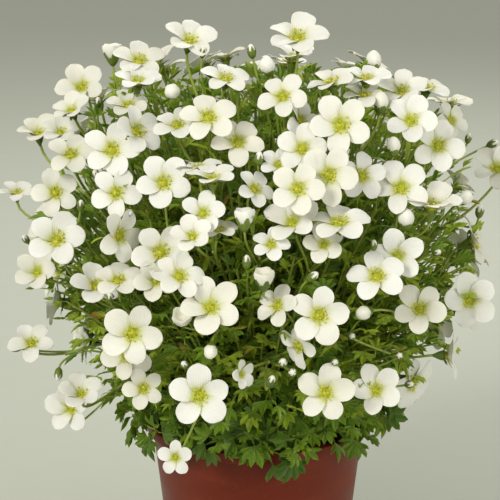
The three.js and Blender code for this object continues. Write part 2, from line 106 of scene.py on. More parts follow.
def mesh_of(name, corners, faces, sharp=40):
    """A smooth mesh that keeps its edges sharper than an angle, from corners in millimetres."""
    mesh = bpy.data.meshes.new(name)
    mesh.from_pydata([Vector(corner) * MM for corner in corners], [], faces)
    mesh.shade_smooth()
    mesh.set_sharp_from_angle(angle=math.radians(sharp))
    return mesh


def shown(name, mesh):
    """A new object in the scene, with a mesh."""
    made = bpy.data.objects.new(name, mesh)
    bpy.context.scene.collection.objects.link(made)
    return made


def worked(made):
    """Turns an object with modifiers into a plain mesh."""
    graph = bpy.context.evaluated_depsgraph_get()
    mesh = bpy.data.meshes.new_from_object(made.evaluated_get(graph), depsgraph=graph)
    made.modifiers.clear()
    made.data = mesh
    mesh.name = made.name
    return made


def add(tree, kind, inputs=(), **settings):
    """A node with its settings, and with its inputs set or linked by name or number."""
    made = tree.nodes.new(kind)
    for setting, value in settings.items():
        setattr(made, setting, value)
    for key, value in dict(inputs).items():
        if isinstance(value, bpy.types.NodeSocket):
            tree.links.new(value, made.inputs[key])
        else:
            made.inputs[key].default_value = value
    return made


def new_finish(name):
    """A material, its node tree and its surface shader."""
    finish = bpy.data.materials.new(name)
    finish.use_nodes = True
    return finish, finish.node_tree, finish.node_tree.nodes["Principled BSDF"]


def coat(tree, surface, colour, roughness, **others):
    """Links a surface's colour and roughness, and sets its other inputs by name."""
    tree.links.new(colour, surface.inputs["Base Color"])
    tree.links.new(roughness, surface.inputs["Roughness"])
    for name, value in others.items():
        surface.inputs[name.replace("_", " ")].default_value = value


def noise(tree, scale, detail=3, roughness=0.5, stretch=(1, 1, 1)):
    """A cloudy pattern on object coordinates, scale being its features in one metre."""
    place = add(tree, "ShaderNodeTexCoord").outputs["Object"]
    drawn_out = add(tree, "ShaderNodeMapping", {"Vector": place, "Scale": stretch}).outputs[0]
    inputs = {"Vector": drawn_out, "Scale": scale, "Detail": detail, "Roughness": roughness}
    return add(tree, "ShaderNodeTexNoise", inputs).outputs["Fac"]


def blended(tree, share, first, second):
    """One colour turning to another as a share goes from 0 to 1."""
    inputs = {0: share, 6: first, 7: second}
    return add(tree, "ShaderNodeMix", inputs, data_type="RGBA").outputs[2]


def levels(tree, value, low, high, bottom=0.0, top=1.0):
    """A value stretched so that low becomes bottom and high becomes top, and held there."""
    inputs = {"Value": value, "From Min": low, "From Max": high, "To Min": bottom, "To Max": top}
    return add(tree, "ShaderNodeMapRange", inputs, interpolation_type="SMOOTHSTEP").outputs["Result"]


def roughened(tree, surface, height, strength, distance):
    """Gives a surface small relief, distance being its depth in metres."""
    inputs = {"Height": height, "Strength": strength, "Distance": distance}
    bump = add(tree, "ShaderNodeBump", inputs)
    tree.links.new(bump.outputs[0], surface.inputs["Normal"])


pot_plastic, tree, surface = new_finish("clay-red pot plastic")
flow_marks = noise(tree, 26, 4, 0.6, (1, 1, 3.5))
faded = blended(tree, levels(tree, flow_marks, 0.42, 0.72), POT_RED, POT_FADED)
dust_specks = levels(tree, noise(tree, 420, 5, 0.7), 0.56, 0.74, 0, 0.3)
pot_colour = blended(tree, dust_specks, faded, POT_DUST)
pot_sheen = levels(tree, flow_marks, 0.3, 0.75, 0.36, 0.5)
coat(tree, surface, pot_colour, pot_sheen, Specular_IOR_Level=0.25)
roughened(tree, surface, noise(tree, 900, 3, 0.6), 0.25, 0.0002)

lip_foot = POT["height"] - POT["lip depth"]
pot_profile = rounded(
    [
        (0, 0, 0),
        (POT["foot"], 0, POT_ROUNDING["foot"]),
        (POT["top"], lip_foot, POT_ROUNDING["under lip"]),
        (POT["lip"], lip_foot, POT_ROUNDING["under lip"]),
        (POT["lip"], POT["height"], POT_ROUNDING["lip"]),
        (POT["top"] - POT["wall"], POT["height"], POT_ROUNDING["lip"]),
        (POT["foot"] - POT["wall"], POT["wall"], POT_ROUNDING["inside"]),
        (0, POT["wall"], 0),
    ]
)
pot = shown("flower_pot", mesh_of("flower_pot", *turned(pot_profile, POT_SIDES)))

plug_corners, plug_faces = [], []
for hole in range(DRAIN["count"]):
    angle = 2 * math.pi * (hole + 0.5) / DRAIN["count"]
    middle = Vector((math.cos(angle), math.sin(angle), 0)) * DRAIN["ring"]
    half = DRAIN["depth"] / 2
    plug_profile = [Vector((0, -half)), Vector((DRAIN["radius"], -half))]
    plug_profile += [Vector((DRAIN["radius"], half)), Vector((0, half))]
    corners, faces = turned(plug_profile, DRAIN["sides"])
    first = len(plug_corners)
    plug_corners += [Vector(corner) + middle for corner in corners]
    plug_faces += [[first + corner for corner in face] for face in faces]
plugs = shown("drain plugs", mesh_of("drain plugs", plug_corners, plug_faces))
cut = pot.modifiers.new("drain holes", "BOOLEAN")
cut.object = plugs
worked(pot)
bpy.data.objects.remove(plugs)
pot.data.materials.clear()
pot.data.materials.append(pot_plastic)
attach(pot, "root")
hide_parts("pot")

# The soil
# Dark peaty compost, pressed to a finger's width under the lip with a low crown, and loose crumbs
# of bark and fibre on top. The crumbs are scattered with a fixed seed.
SOIL = {"rim": 79, "crown": 1.6, "gap": 0.3, "rings": 22, "sides": 90, "lumps": 1.1}
CRUMBS = {
    "count": 420, "smallest": 0.8, "largest": 2.4, "sunk": 0.35, "off the wall": 2.5, "turn": 2.39996
}
PEAT_DARK = (0.012, 0.008, 0.005, 1)
PEAT_BROWN = (0.055, 0.032, 0.018, 1)


def draw(seed, k):
    """A number from 0 to 1, always the same for the same pair."""
    wave = math.sin(seed * 12.9898 + k * 78.233) * 43758.5453
    return wave - math.floor(wave)


def between(low, high, share):
    """The number at a share of the way from low to high."""
    return low + (high - low) * share


def stray(seed, k):
    """A step in any direction, up to half a unit each way, from three draws."""
    return Vector([draw(seed, k + j) - 0.5 for j in range(3)])


def soil_top(x, y):
    """How high the compost is at a place, with soft lumps that die out at the wall."""
    out = math.hypot(x, y) / POT["top"]
    lumps = math.sin(x * 0.41 + 1.3) * math.cos(y * 0.37) + 0.6 * math.sin((x + y) * 0.93)
    return SOIL["rim"] + SOIL["crown"] * (1 - out * out) + SOIL["lumps"] * lumps * max(0, 1 - out ** 4)


def put(made, name, values, kind="FLOAT"):
    """Keeps one value for each corner of a mesh under a name."""
    numbers = np.array(values, dtype=np.int32 if kind == "INT" else np.float32)
    made.attributes.new(name, kind, "POINT").data.foreach_set("value", numbers.ravel())


compost, tree, surface = new_finish("peaty compost")
peat_crumb = noise(tree, 700, 6, 0.7)
peat_colour = blended(tree, levels(tree, peat_crumb, 0.38, 0.68), PEAT_DARK, PEAT_BROWN)
peat_sheen = levels(tree, peat_crumb, 0.3, 0.7, 0.98, 0.8)
coat(tree, surface, peat_colour, peat_sheen, Specular_IOR_Level=0.15)
roughened(tree, surface, peat_crumb, 0.9, 0.0012)

soil_floor = POT["wall"] + SOIL["gap"]
soil_foot = POT["foot"] - POT["wall"] - 2 * SOIL["gap"]
soil_rim = between(POT["foot"], POT["top"], SOIL["rim"] / POT["height"]) - POT["wall"] - 2 * SOIL["gap"]
soil_profile = [Vector((0, soil_floor)), Vector((soil_foot, soil_floor))]
for ring in range(SOIL["rings"]):
    soil_profile.append(Vector((soil_rim * (1 - ring / SOIL["rings"]), SOIL["rim"])))
soil_profile.append(Vector((0, SOIL["rim"])))
corners, faces = turned(soil_profile, SOIL["sides"])
corners = [(x, y, soil_top(x, y) if z > soil_floor else z) for x, y, z in corners]
soil = shown("compost", mesh_of("compost", corners, faces, 60))
soil.data.materials.append(compost)


def new_tree(name, *inputs):
    """A geometry tree, with inputs of (name, socket kind, usual value). Returns it and its inputs."""
    made = bpy.data.node_groups.new(name, "GeometryNodeTree")
    made.interface.new_socket("Geometry", in_out="OUTPUT", socket_type="NodeSocketGeometry")
    made.interface.new_socket("Geometry", in_out="INPUT", socket_type="NodeSocketGeometry")
    for input_name, kind, usual in inputs:
        socket = made.interface.new_socket(input_name, in_out="INPUT", socket_type="NodeSocket" + kind)
        if usual is not None:
            socket.default_value = usual
    return made, made.nodes.new("NodeGroupInput").outputs


def ending(tree, geometry, finish):
    """Ends a tree: its copies become real, and get their finish."""
    real = add(tree, "GeometryNodeRealizeInstances", {0: geometry}).outputs[0]
    finished = add(tree, "GeometryNodeSetMaterial", {"Geometry": real, "Material": finish}).outputs[0]
    add(tree, "NodeGroupOutput", {0: finished})


def kept(tree, name, kind="FLOAT"):
    """The value that each corner of a layout keeps under a name."""
    return add(tree, "GeometryNodeInputNamedAttribute", {"Name": name}, data_type=kind).outputs[0]


def reckoned(tree, operation, *values):
    """What a sum on one or two values gives."""
    return add(tree, "ShaderNodeMath", dict(enumerate(values)), operation=operation).outputs[0]


def scattering():
    """The tree that puts a shape on each point of a layout. A point's own attributes say how it is
    turned, how large it is and which of the shapes it gets, and a seeded stray is added to them."""
    tree, given = new_tree(
        "plant scattering",
        ("Shapes", "Collection", None),
        ("Finish", "Material", None),
        ("Size", "Float", 1.0),
        ("Size stray", "Float", 0.05),
        ("Turn stray", "Float", 0.05),
        ("Seed", "Int", 1),
    )
    shapes = add(
        tree, "GeometryNodeCollectionInfo",
        {"Collection": given["Shapes"], "Separate Children": True, "Reset Children": True},
    ).outputs[0]
    turn = kept(tree, "turn", "QUATERNION")
    kind = kept(tree, "kind", "INT")
    least = reckoned(tree, "SUBTRACT", 1.0, given["Size stray"])
    most = reckoned(tree, "ADD", 1.0, given["Size stray"])
    growth = add(tree, "FunctionNodeRandomValue", {2: least, 3: most, 8: given["Seed"]}).outputs[1]
    scale = reckoned(tree, "MULTIPLY", kept(tree, "size"), growth)
    scale = reckoned(tree, "MULTIPLY", scale, given["Size"])
    back = reckoned(tree, "MULTIPLY", given["Turn stray"], -1.0)
    low = add(tree, "ShaderNodeCombineXYZ", {0: back, 1: back, 2: back}).outputs[0]
    high = add(tree, "ShaderNodeCombineXYZ", dict.fromkeys(range(3), given["Turn stray"])).outputs[0]
    sway = add(
        tree, "FunctionNodeRandomValue", {0: low, 1: high, 8: given["Seed"]}, data_type="FLOAT_VECTOR"
    ).outputs[0]
    sway = add(tree, "FunctionNodeEulerToRotation", {0: sway}).outputs[0]
    turn = add(tree, "FunctionNodeRotateRotation", {0: turn, 1: sway}, rotation_space="LOCAL").outputs[0]
    placed = add(
        tree, "GeometryNodeInstanceOnPoints",
        {"Points": given["Geometry"], "Instance": shapes, "Pick Instance": True, "Instance Index": kind,
         "Rotation": turn, "Scale": scale},
    ).outputs[0]
    ending(tree, placed, given["Finish"])
    return tree


scattered_on_points = scattering()


def grown(name, layout, tree, **settings):
    """A plain piece made by a tree from a layout mesh. The settings are the tree's named inputs."""
    made = shown(name, layout)
    growth = made.modifiers.new("growth", "NODES")
    growth.node_group = tree
    inputs = [item for item in tree.interface.items_tree if item.in_out == "INPUT"]
    sockets = {item.name: item.identifier for item in inputs}
    for setting, value in settings.items():
        growth[sockets[setting.replace("_", " ")]] = value
    worked(made)
    for layer in ("turn", "size", "kind"):
        if layer in made.data.attributes:
            made.data.attributes.remove(made.data.attributes[layer])
    return made


def scattered(name, shapes, spots, finish, seed, swell, sway):
    """A piece of many copies. Each spot is (place, turn, size, kind, tone). Swell and sway say how
    far sizes and turns stray."""
    layout = bpy.data.meshes.new(name + " layout")
    layout.from_pydata([Vector(spot[0]) * MM for spot in spots], [], [])
    put(layout, "turn", [tuple(spot[1]) for spot in spots], "QUATERNION")
    put(layout, "size", [spot[2] for spot in spots])
    put(layout, "kind", [spot[3] for spot in spots], "INT")
    put(layout, "tone", [spot[4] for spot in spots])
    folder = bpy.data.collections.new(name + " shapes")
    for i, mesh in enumerate(shapes):
        folder.objects.link(bpy.data.objects.new(f"{name} shape {i:02d}", mesh))
    made = grown(
        name, layout, scattered_on_points, Shapes=folder, Finish=finish, Size=1.0,
        Size_stray=swell, Turn_stray=sway, Seed=seed,
    )
    for shape in list(folder.objects):
        bpy.data.objects.remove(shape)
    bpy.data.collections.remove(folder)
    return made


def crumb_shape(seed):
    """A crumb one millimetre across: a knobbly lump with 20 faces."""
    lump = bpy.data.meshes.new("crumb")
    top, ring, low = 0.5, 0.22, 0.447
    corners = [(0, 0, top)]
    for height, start in ((ring, 0), (-ring, 36)):
        for angle in (math.radians(start + 72 * k) for k in range(5)):
            corners.append((low * math.cos(angle), low * math.sin(angle), height))
    corners.append((0, 0, -top))
    corners = [Vector(corner) * between(0.6, 1.25, draw(seed, k)) for k, corner in enumerate(corners)]
    faces = [(0, 1 + k, 1 + (k + 1) % 5) for k in range(5)]
    for k in range(5):
        after = (k + 1) % 5
        faces += [(1 + k, 6 + k, 1 + after), (1 + after, 6 + k, 6 + after), (6 + k, 11, 6 + after)]
    lump.from_pydata([corner * MM for corner in corners], [], faces)
    return lump


crumb_spots = []
for i in range(CRUMBS["count"]):
    out = (soil_rim - CRUMBS["off the wall"]) * math.sqrt((i + 0.5) / CRUMBS["count"])
    angle = i * CRUMBS["turn"]
    size = between(CRUMBS["smallest"], CRUMBS["largest"], draw(i, 51) ** 2)
    x, y = out * math.cos(angle), out * math.sin(angle)
    turn = Quaternion((*stray(i, 52), draw(i, 55))).normalized()
    place = (x, y, soil_top(x, y) + CRUMBS["sunk"] * size * 0.5)
    crumb_spots.append((place, turn, size, i % 3, draw(i, 56)))
crumb_shapes = [crumb_shape(seed) for seed in (3, 5, 8)]
crumbs = scattered("compost_crumbs", crumb_shapes, crumb_spots, compost, seed=7, swell=0.1, sway=0.3)
for piece in (soil, crumbs):
    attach(piece, "root")
    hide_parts("soil")

# The leaf cushion
# A low dome of close-set rosettes that rests on the compost and spills over the pot's lip. Each
# leaf is a short stalk and a wedge-shaped blade with three, five or seven lobes. The rosettes stand
# along a golden spiral, outward from a core that closes the gaps between them. The core stands for
# the packed inner leaves, and its one fixed dark leaf tone is painted shade for those gaps.
CUSHION = {"middle": 98, "radius": 57, "rise": 26, "low radius": 44, "low": 82, "over lip": 91}
CORE = {"inside": 5, "sides": 72, "rings": 20, "lumps": 2.4}
ROSETTES = {"count": 96, "top tilt": 5, "low tilt": 101, "sunk": 3, "proud": 6, "uplift": 0.6, "stray": 0.7}
ROSETTE_LEAVES = {
    "count": 8, "flattest": 8, "steepest": 72, "rise stray": 24, "outer": 21, "inner": 11,
    "shortest": 0.8, "longest": 1.15, "roll": 0.9, "darkest": 0.0, "palest": 0.5, "inner pallor": 0.2,
}
GOLDEN_TURN = math.radians(137.508)
LEAF_DARK = (0.056, 0.12, 0.012, 1)
LEAF_GREEN = (0.17, 0.285, 0.017, 1)
LEAF_FRESH = (0.4, 0.51, 0.032, 1)
LEAF_TIP = (0.46, 0.42, 0.07, 1)
LEAF_RED = (0.24, 0.07, 0.03, 1)
LEAF = {
    "arch": 0.22, "drawn in": 0.25, "stalk": 0.026, "stalk depth": 0.03, "lift": 0.03, "groove": 0.03,
    "flesh": 0.02,
}
LOBE = {
    "shoulder": 0.55, "shoulder lift": 1.3, "broadest": 0.45, "middle": 0.25, "outer turn": 0.8,
    "outer cut": 0.9,
}
NARROW_LEAF_WIDTHS = ((0.0, 0.3), (0.35, 0.9), (0.65, 1.0), (0.87, 0.55))


def carried(tree, name):
    """The value that a mesh carries under a name, for its finish."""
    return add(tree, "ShaderNodeAttribute", attribute_name=name).outputs["Fac"]


leaf_skin, tree, surface = new_finish("saxifrage leaf")
leaf_tone = carried(tree, "tone")
leaf_along = carried(tree, "along")
mottle = noise(tree, 340, 4, 0.6)
green = blended(tree, levels(tree, leaf_tone, 0.0, 0.55), LEAF_DARK, LEAF_GREEN)
green = blended(tree, levels(tree, leaf_tone, 0.5, 1.0), green, LEAF_FRESH)
green = blended(tree, levels(tree, mottle, 0.42, 0.72, 0.0, 0.5), green, LEAF_DARK)
pale_foot = levels(tree, leaf_along, 0.0, 0.45, 0.45, 0.0)
green = blended(tree, pale_foot, green, LEAF_FRESH)
yellowed = levels(tree, leaf_tone, 0.62, 0.8, 0, 0.6)
yellow_tip = reckoned(tree, "MULTIPLY", yellowed, levels(tree, leaf_along, 0.82, 1.0))
green = blended(tree, yellow_tip, green, LEAF_TIP)
old = reckoned(tree, "GREATER_THAN", leaf_tone, 0.985)
reddened = reckoned(tree, "MULTIPLY", old, levels(tree, leaf_along, 0.4, 1.0))
green = blended(tree, reddened, green, LEAF_RED)
coat(
    tree, surface, green, levels(tree, mottle, 0.3, 0.7, 0.4, 0.56), Specular_IOR_Level=0.32,
    Subsurface_Weight=0.15, Subsurface_Radius=(0.6, 1.0, 0.2), Subsurface_Scale=0.0015,
)
roughened(tree, surface, mottle, 0.4, 0.0003)


def dome_height(out):
    """How high the cushion is at a distance from the plant's axis."""
    return CUSHION["middle"] + CUSHION["rise"] * math.sqrt(max(0, 1 - (out / CUSHION["radius"]) ** 2))


def strip(corners, faces, rings, tip):
    """Adds a closed sliver: rings of right edge, upper middle, left edge, lower middle, and a tip."""
    first = len(corners)
    for ring in rings:
        corners.extend(ring)
    corners.append(tip)
    end = len(corners) - 1
    faces.append((first, first + 1, first + 2, first + 3))
    for i in range(len(rings)):
        for k in range(4):
            here, after = first + 4 * i + k, first + 4 * i + (k + 1) % 4
            if i + 1 < len(rings):
                faces.append((after, here, here + 4, after + 4))
            else:
                faces.append((after, here, end))


def leaf_bend(droop):
    """How a leaf one unit long along +X curves: up from its foot, then down towards its tip."""

    def bent(x, y, z):
        shorter = 1 - LEAF["drawn in"] * droop * x
        return Vector((x * shorter, y, z + LEAF["arch"] * x - droop * x * x))

    return bent


def leaf_stalk(corners, faces, length, bent):
    """Adds a leaf's stalk, which runs a little way under the blade."""
    rings = []
    half, depth = LEAF["stalk"], LEAF["stalk depth"]
    for x in (0.0, 0.55 * length):
        rings.append([bent(x, -half, 0.01), bent(x, 0, 0.0), bent(x, half, 0.01), bent(x, 0, -depth)])
    strip(corners, faces, rings, bent(1.25 * length, 0, -0.02))


def lobed_leaf(name, lobes, stalk, cut, droop):
    """A wedge-shaped blade cut into pointed lobes, upper side to +Z. Each lobe is (turn in degrees,
    length) from the end of the stalk, and cut is the share of its length where it leaves the blade."""
    corners, faces = [], []
    bent = leaf_bend(droop)
    leaf_stalk(corners, faces, stalk, bent)

    def reached(turn, length, height):
        turn = math.radians(turn)
        return bent(stalk + length * math.cos(turn), length * math.sin(turn), height)

    half = (lobes[1][0] - lobes[0][0]) / 2
    root = len(corners)
    corners.append(bent(stalk, 0, 0))
    aside, outer_cut = LOBE["outer turn"] * half, LOBE["outer cut"] * cut
    notches = [reached(lobes[0][0] - aside, outer_cut * lobes[0][1], LEAF["lift"])]
    for (turn, length), (next_turn, next_length) in zip(lobes, lobes[1:]):
        notches.append(reached((turn + next_turn) / 2, cut * (length + next_length) / 2, LEAF["lift"]))
    notches.append(reached(lobes[-1][0] + aside, outer_cut * lobes[-1][1], LEAF["lift"]))
    first_notch = len(corners)
    corners.extend(notches)
    for i, (turn, length) in enumerate(lobes):
        right, tip, left, rib, under = range(len(corners), len(corners) + 5)
        spread, rise = LOBE["shoulder"] * half, LOBE["shoulder lift"] * LEAF["lift"]
        broadest = length * between(cut, 1, LOBE["broadest"])
        middle = length * between(cut, 1, LOBE["middle"])
        corners.append(reached(turn - spread, broadest, rise))
        corners.append(reached(turn, length, 0.0))
        corners.append(reached(turn + spread, broadest, rise))
        corners.append(reached(turn, middle, -LEAF["groove"]))
        corners.append(reached(turn, middle, -LEAF["groove"] - LEAF["flesh"]))
        edge = [root, first_notch + i, right, tip, left, first_notch + i + 1]
        for here, after in zip(edge, edge[1:] + edge[:1]):
            faces.append((here, after, rib))
            faces.append((after, here, under))
    made = mesh_of(name, corners, faces, 55)
    put(made, "along", [corner.length for corner in corners])
    return made


def narrow_leaf(name, stalk, half, droop):
    """A lance-shaped blade, grooved along its middle."""
    corners, faces = [], []
    bent = leaf_bend(droop)
    leaf_stalk(corners, faces, stalk, bent)
    rings = []
    for share, width in NARROW_LEAF_WIDTHS:
        x, edge = between(stalk, 1.0, share), half * width
        lift = edge * 0.3
        rings.append(
            [bent(x, -edge, lift), bent(x, 0, 0), bent(x, edge, lift), bent(x, 0, -LEAF["flesh"])]
        )
    strip(corners, faces, rings, bent(1.0, 0, 0))
    made = mesh_of(name, corners, faces, 55)
    put(made, "along", [corner.length for corner in corners])
    return made


def leaf_shapes(droops):
    """Leaves cut into three, five and seven lobes, each with every droop."""
    three = ((-34, 0.5), (0, 0.6), (35, 0.48))
    five = ((-64, 0.42), (-31, 0.52), (0, 0.58), (32, 0.51), (62, 0.4))
    seven = ((-84, 0.38), (-56, 0.47), (-27, 0.53), (0, 0.58), (28, 0.52), (55, 0.48), (83, 0.37))
    made = []
    for i, droop in enumerate(droops):
        made.append(lobed_leaf(f"three-lobed {i}", three, 0.4, 0.5, droop))
        made.append(lobed_leaf(f"five-lobed {i}", five, 0.42, 0.64, droop))
        made.append(lobed_leaf(f"seven-lobed {i}", seven, 0.42, 0.7, droop))
    return made


def laid_along(direction, roll=0.0, towards=(0, 0, 1)):
    """The turn that puts +X along a direction, with +Z leaning towards another, then rolled about +X."""
    ahead = direction.normalized()
    side = Vector(towards).cross(ahead)
    if side.length < 0.05:
        side = Vector((0, 1, 0)).cross(ahead)
    side.normalize()
    upper = ahead.cross(side)
    turn = Matrix((ahead, side, upper)).transposed().to_quaternion()
    return turn @ Quaternion((1, 0, 0), roll)


core_profile = [Vector((0, CUSHION["low"]))]
core_profile.append(Vector((CUSHION["low radius"] - 1, CUSHION["low"])))
core_profile.append(Vector((CUSHION["low radius"] - 1, CUSHION["over lip"])))
for ring in range(CORE["rings"] + 1):
    angle = math.pi / 2 * ring / CORE["rings"]
    out = (CUSHION["radius"] - CORE["inside"]) * math.cos(angle)
    up = (CUSHION["rise"] - CORE["inside"]) * math.sin(angle)
    core_profile.append(Vector((out, CUSHION["middle"] + up)))
core_profile[-1].x = 0
corners, faces = turned(core_profile, CORE["sides"])
lumpy = []
for x, y, z in corners:
    lump = math.sin(x * 0.55) * math.cos(y * 0.5) + 0.5 * math.sin(x * 1.1 + y * 0.9)
    lumpy.append((x, y, z + (CORE["lumps"] * lump if z > CUSHION["middle"] else 0)))
core = shown("cushion_core", mesh_of("cushion_core", lumpy, faces, 80))
# One fixed low tone gives the core the darkest leaf green: painted shade in the gaps between the rosettes.
put(core.data, "tone", [0.1] * len(corners))
put(core.data, "along", [1.0] * len(corners))
core.data.materials.append(leaf_skin)


def rosette(spots, place, axis, seed):
    """Adds the spots of one rosette: leaves set round an axis, flat and long outside, short and
    upright inside, each with its upper side to the axis."""
    rule = ROSETTE_LEAVES
    side = axis.cross(Vector((0.37, 0.21, 0.1))).normalized()
    other = axis.cross(side)
    for k in range(rule["count"]):
        each = 31 * seed + k
        inward = k / (rule["count"] - 1)
        around = side * math.cos(k * GOLDEN_TURN + seed) + other * math.sin(k * GOLDEN_TURN + seed)
        rise = between(rule["flattest"], rule["steepest"], inward ** 1.3)
        rise = math.radians(rise + rule["rise stray"] * (draw(each, 31) - 0.5))
        direction = around * math.cos(rise) + axis * math.sin(rise)
        length = between(rule["outer"], rule["inner"], inward)
        length *= between(rule["shortest"], rule["longest"], draw(each, 32))
        bend = min(2, int(3 * (1 - inward) * draw(each, 33) + 0.6))
        shape = 3 * bend + int(3 * draw(each, 34))
        tone = between(rule["darkest"], rule["palest"], draw(each, 35)) + rule["inner pallor"] * inward
        turn = laid_along(direction, (draw(each, 36) - 0.5) * rule["roll"], axis)
        spots.append((place, turn, length, shape, tone))


rosette_shapes = leaf_shapes((0.1, 0.4, 0.8))
rosette_spots = []
for i in range(ROSETTES["count"]):
    share = (i + 0.5) / ROSETTES["count"]
    low_cosine = math.cos(math.radians(ROSETTES["low tilt"]))
    tilt = math.acos(between(math.cos(math.radians(ROSETTES["top tilt"])), low_cosine, share))
    turn = i * GOLDEN_TURN
    out, up = math.sin(tilt), math.cos(tilt)
    normal = Vector((out * math.cos(turn), out * math.sin(turn), up))
    place = Vector((normal.x * CUSHION["radius"], normal.y * CUSHION["radius"], normal.z * CUSHION["rise"]))
    place += Vector((0, 0, CUSHION["middle"]))
    place += normal * between(-ROSETTES["sunk"], ROSETTES["proud"], draw(i, 21))
    strayed = stray(i, 22) * ROSETTES["stray"]
    uplift = Vector((0, 0, between(0, ROSETTES["uplift"], draw(i, 25))))
    axis = (normal + uplift + strayed).normalized()
    rosette(rosette_spots, place, axis, i)
rosettes = scattered(
    "cushion_leaves", rosette_shapes, rosette_spots, leaf_skin, seed=11, swell=0.12, sway=0.15
)
for piece in (core, rosettes):
    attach(piece, "root")
    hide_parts("leaf_cushion")

# The stems
# Wiry flowering stems rise from the cushion, arch outward and fork near the top into one thin
# stalk for each bloom and bud. The near side follows the plant flower by flower: each spray lists
# its blooms as (across, up, width, turned right, tipped up, set back), measured from the middle
# of the globe of flowers as it is seen, and its buds as (across, up, width, turned, tipped).
GLOBE = {"height": 176, "radius": 106, "lower stretch": 0.85, "seen from above": 15}
BUD_SET_BACK = 2
NEAR_SPRAYS = [
    ([(-101, 46, 22, -10, 55, 0), (-88, 45, 20, 0, 45, 8), (-81, 34, 23, -5, 35, 0)], []),
    ([(-79, 66, 25, -15, 25, 3), (-82, 54, 20, -20, 45, -2)], [(-70, 57, 5, 10, 60)]),
    ([(-52, 75, 24, 10, 45, 0), (-52, 65, 22, 10, 55, 0), (-56, 55, 20, 0, 50, 6)], [(-66, 81, 9, -10, 75)]),
    ([(-52, 43, 24, 35, 20, 2), (-62, 35, 26, 0, 20, -2)], [(-69, 25, 5, -30, 40)]),
    ([(-30, 83, 25, 15, 45, 0), (-14, 65, 22, 15, 50, 0)], [(-36, 60, 8, -20, 10), (-24, 78, 5, 20, 60)]),
    ([(-21, 48, 25, 0, 30, -2), (-34, 45, 22, 0, 45, 2), (-9, 38, 24, 10, 30, 8)], []),
    ([(17, 84, 28, 0, 50, 0), (10, 57, 22, -5, 25, -2), (17, 47, 22, 50, 20, 6)],
     [(-3, 78, 6, -30, 70), (4, 70, 8, -20, 50)]),
    ([(18, 35, 22, 0, 10, 1), (16, 18, 24, 0, 10, -4), (8, 28, 17, 0, 30, 6)], [(0, 31, 6, 10, 50)]),
    ([(31, 64, 22, -30, 60, 3), (46, 66, 21, 0, 60, 0), (45, 59, 20, 0, 60, 5)],
     [(50, 74, 8, 0, 75), (52, 55, 8, 0, 70)]),
    ([(34, 45, 28, 0, 5, -5), (29, 24, 26, -5, 5, -1), (43, 24, 22, 20, 10, 6)], [(57, 36, 7, 0, 70)]),
    ([(62, 61, 24, -10, 45, 0), (75, 65, 22, 20, 60, 8), (65, 48, 24, -5, 20, -2)], []),
    ([(88, 60, 26, 15, 75, 0), (77, 38, 25, 15, 10, -2), (86, 51, 18, 40, 20, 8)],
     [(96, 44, 5, 20, 60), (108, 42, 6, 60, 20)]),
    ([(110, 30, 24, -10, 30, 0)], [(89, 15, 7, 50, 30), (98, 10, 6, 10, 60)]),
    ([(60, 19, 26, 0, 20, 3), (73, 11, 27, 10, 65, -4)], [(62, 5, 8, 0, 60)]),
    ([(-111, 19, 18, 0, 60, 0), (-88, 18, 22, 0, 5, 0)], [(-76, 12, 5, 10, 60)]),
    ([(-60, 17, 22, 0, 10, 0), (-59, -1, 24, 45, 0, -2)], [(-55, 8, 5, 40, 20)]),
    ([(-87, -3, 28, 0, 25, -2), (-97, -17, 22, -10, 20, -3)], [(-107, -2, 5, -30, 40)]),
    ([(-59, -20, 22, 0, 45, -2), (-69, -23, 24, 10, 40, 4)], [(-63, -27, 5, 0, 40)]),
    ([(-40, 21, 25, 0, 15, 5), (-41, -8, 25, 0, 15, 6), (-43, -20, 20, 0, 10, 2), (-33, -18, 23, 20, 25, -4)],
     []),
    ([(-19, 22, 22, 0, 65, -3), (-25, 27, 20, -20, 75, 4), (-23, 8, 20, 0, 20, 0),
      (-27, -2, 20, -10, 30, -6), (-17, 1, 18, 20, 60, 4)], []),
    ([(-2, 18, 18, 30, 30, 4), (5, -5, 17, 0, 40, 0)],
     [(-6, 5, 9, 0, 75), (-5, -12, 6, 0, 75), (2, -20, 9, 0, 65)]),
    ([(-20, -31, 28, 0, 25, -2)], [(-32, -36, 9, 0, 30), (-20, -48, 7, -10, -50)]),
    ([(14, 4, 25, -10, 35, 5), (33, 4, 27, 0, 55, -2), (27, -5, 20, 0, 20, 4)], []),
    ([(8, -30, 20, -30, 20, 6), (25, -34, 26, 0, 5, -2)], [(22, -18, 6, 50, 30)]),
    ([(58, -10, 26, 0, 5, 2), (49, -18, 25, -5, 30, -5)], [(76, -8, 5, 30, 10), (48, -5, 5, 0, 60)]),
    ([(68, -32, 24, 0, 15, -2), (92, -29, 27, 5, 5, 0)], [(45, -33, 7, -50, -10)]),
    ([(-104, -50, 22, -10, 40, 0)], [(-112, -52, 6, -60, 10), (-92, -64, 6, -10, -70)]),
    ([(-53, -42, 27, 0, 0, -4), (-56, -52, 22, 0, 0, 4), (-49, -66, 19, 0, 5, 2)], []),
    ([(-86, -80, 25, -20, 0, 4), (-78, -71, 23, 0, 40, -4)], [(-84, -86, 5, -20, 10)]),
    ([(-36, -97, 16, -10, 0, 0), (-25, -68, 27, 5, 0, -3)], [(-31, -55, 5, -20, 20)]),
    ([(-8, -59, 14, 50, 0, 5), (17, -47, 20, -50, -20, 6)],
     [(10, -54, 6, 0, 20), (14, -58, 6, 0, 0), (5, -62, 6, 30, 50)]),
    ([(28, -67, 25, 0, 5, -2), (50, -67, 25, 0, 15, 0)],
     [(65, -65, 5, 30, 10), (60, -52, 5, 0, 10), (32, -54, 5, 0, 10)]),
    ([(82, -53, 22, 80, 0, 0)], [(39, -43, 5, 0, 10)]),
]
FAR_SIDE = {"points": 260, "highest": 0.99, "lowest": -0.62, "radius": 104, "depth": 30, "spacing": 24.5}
CROWN = {"height": 76, "share": 0.15}
FAR_SPRAY = {"reach": 40, "most blooms": 4}
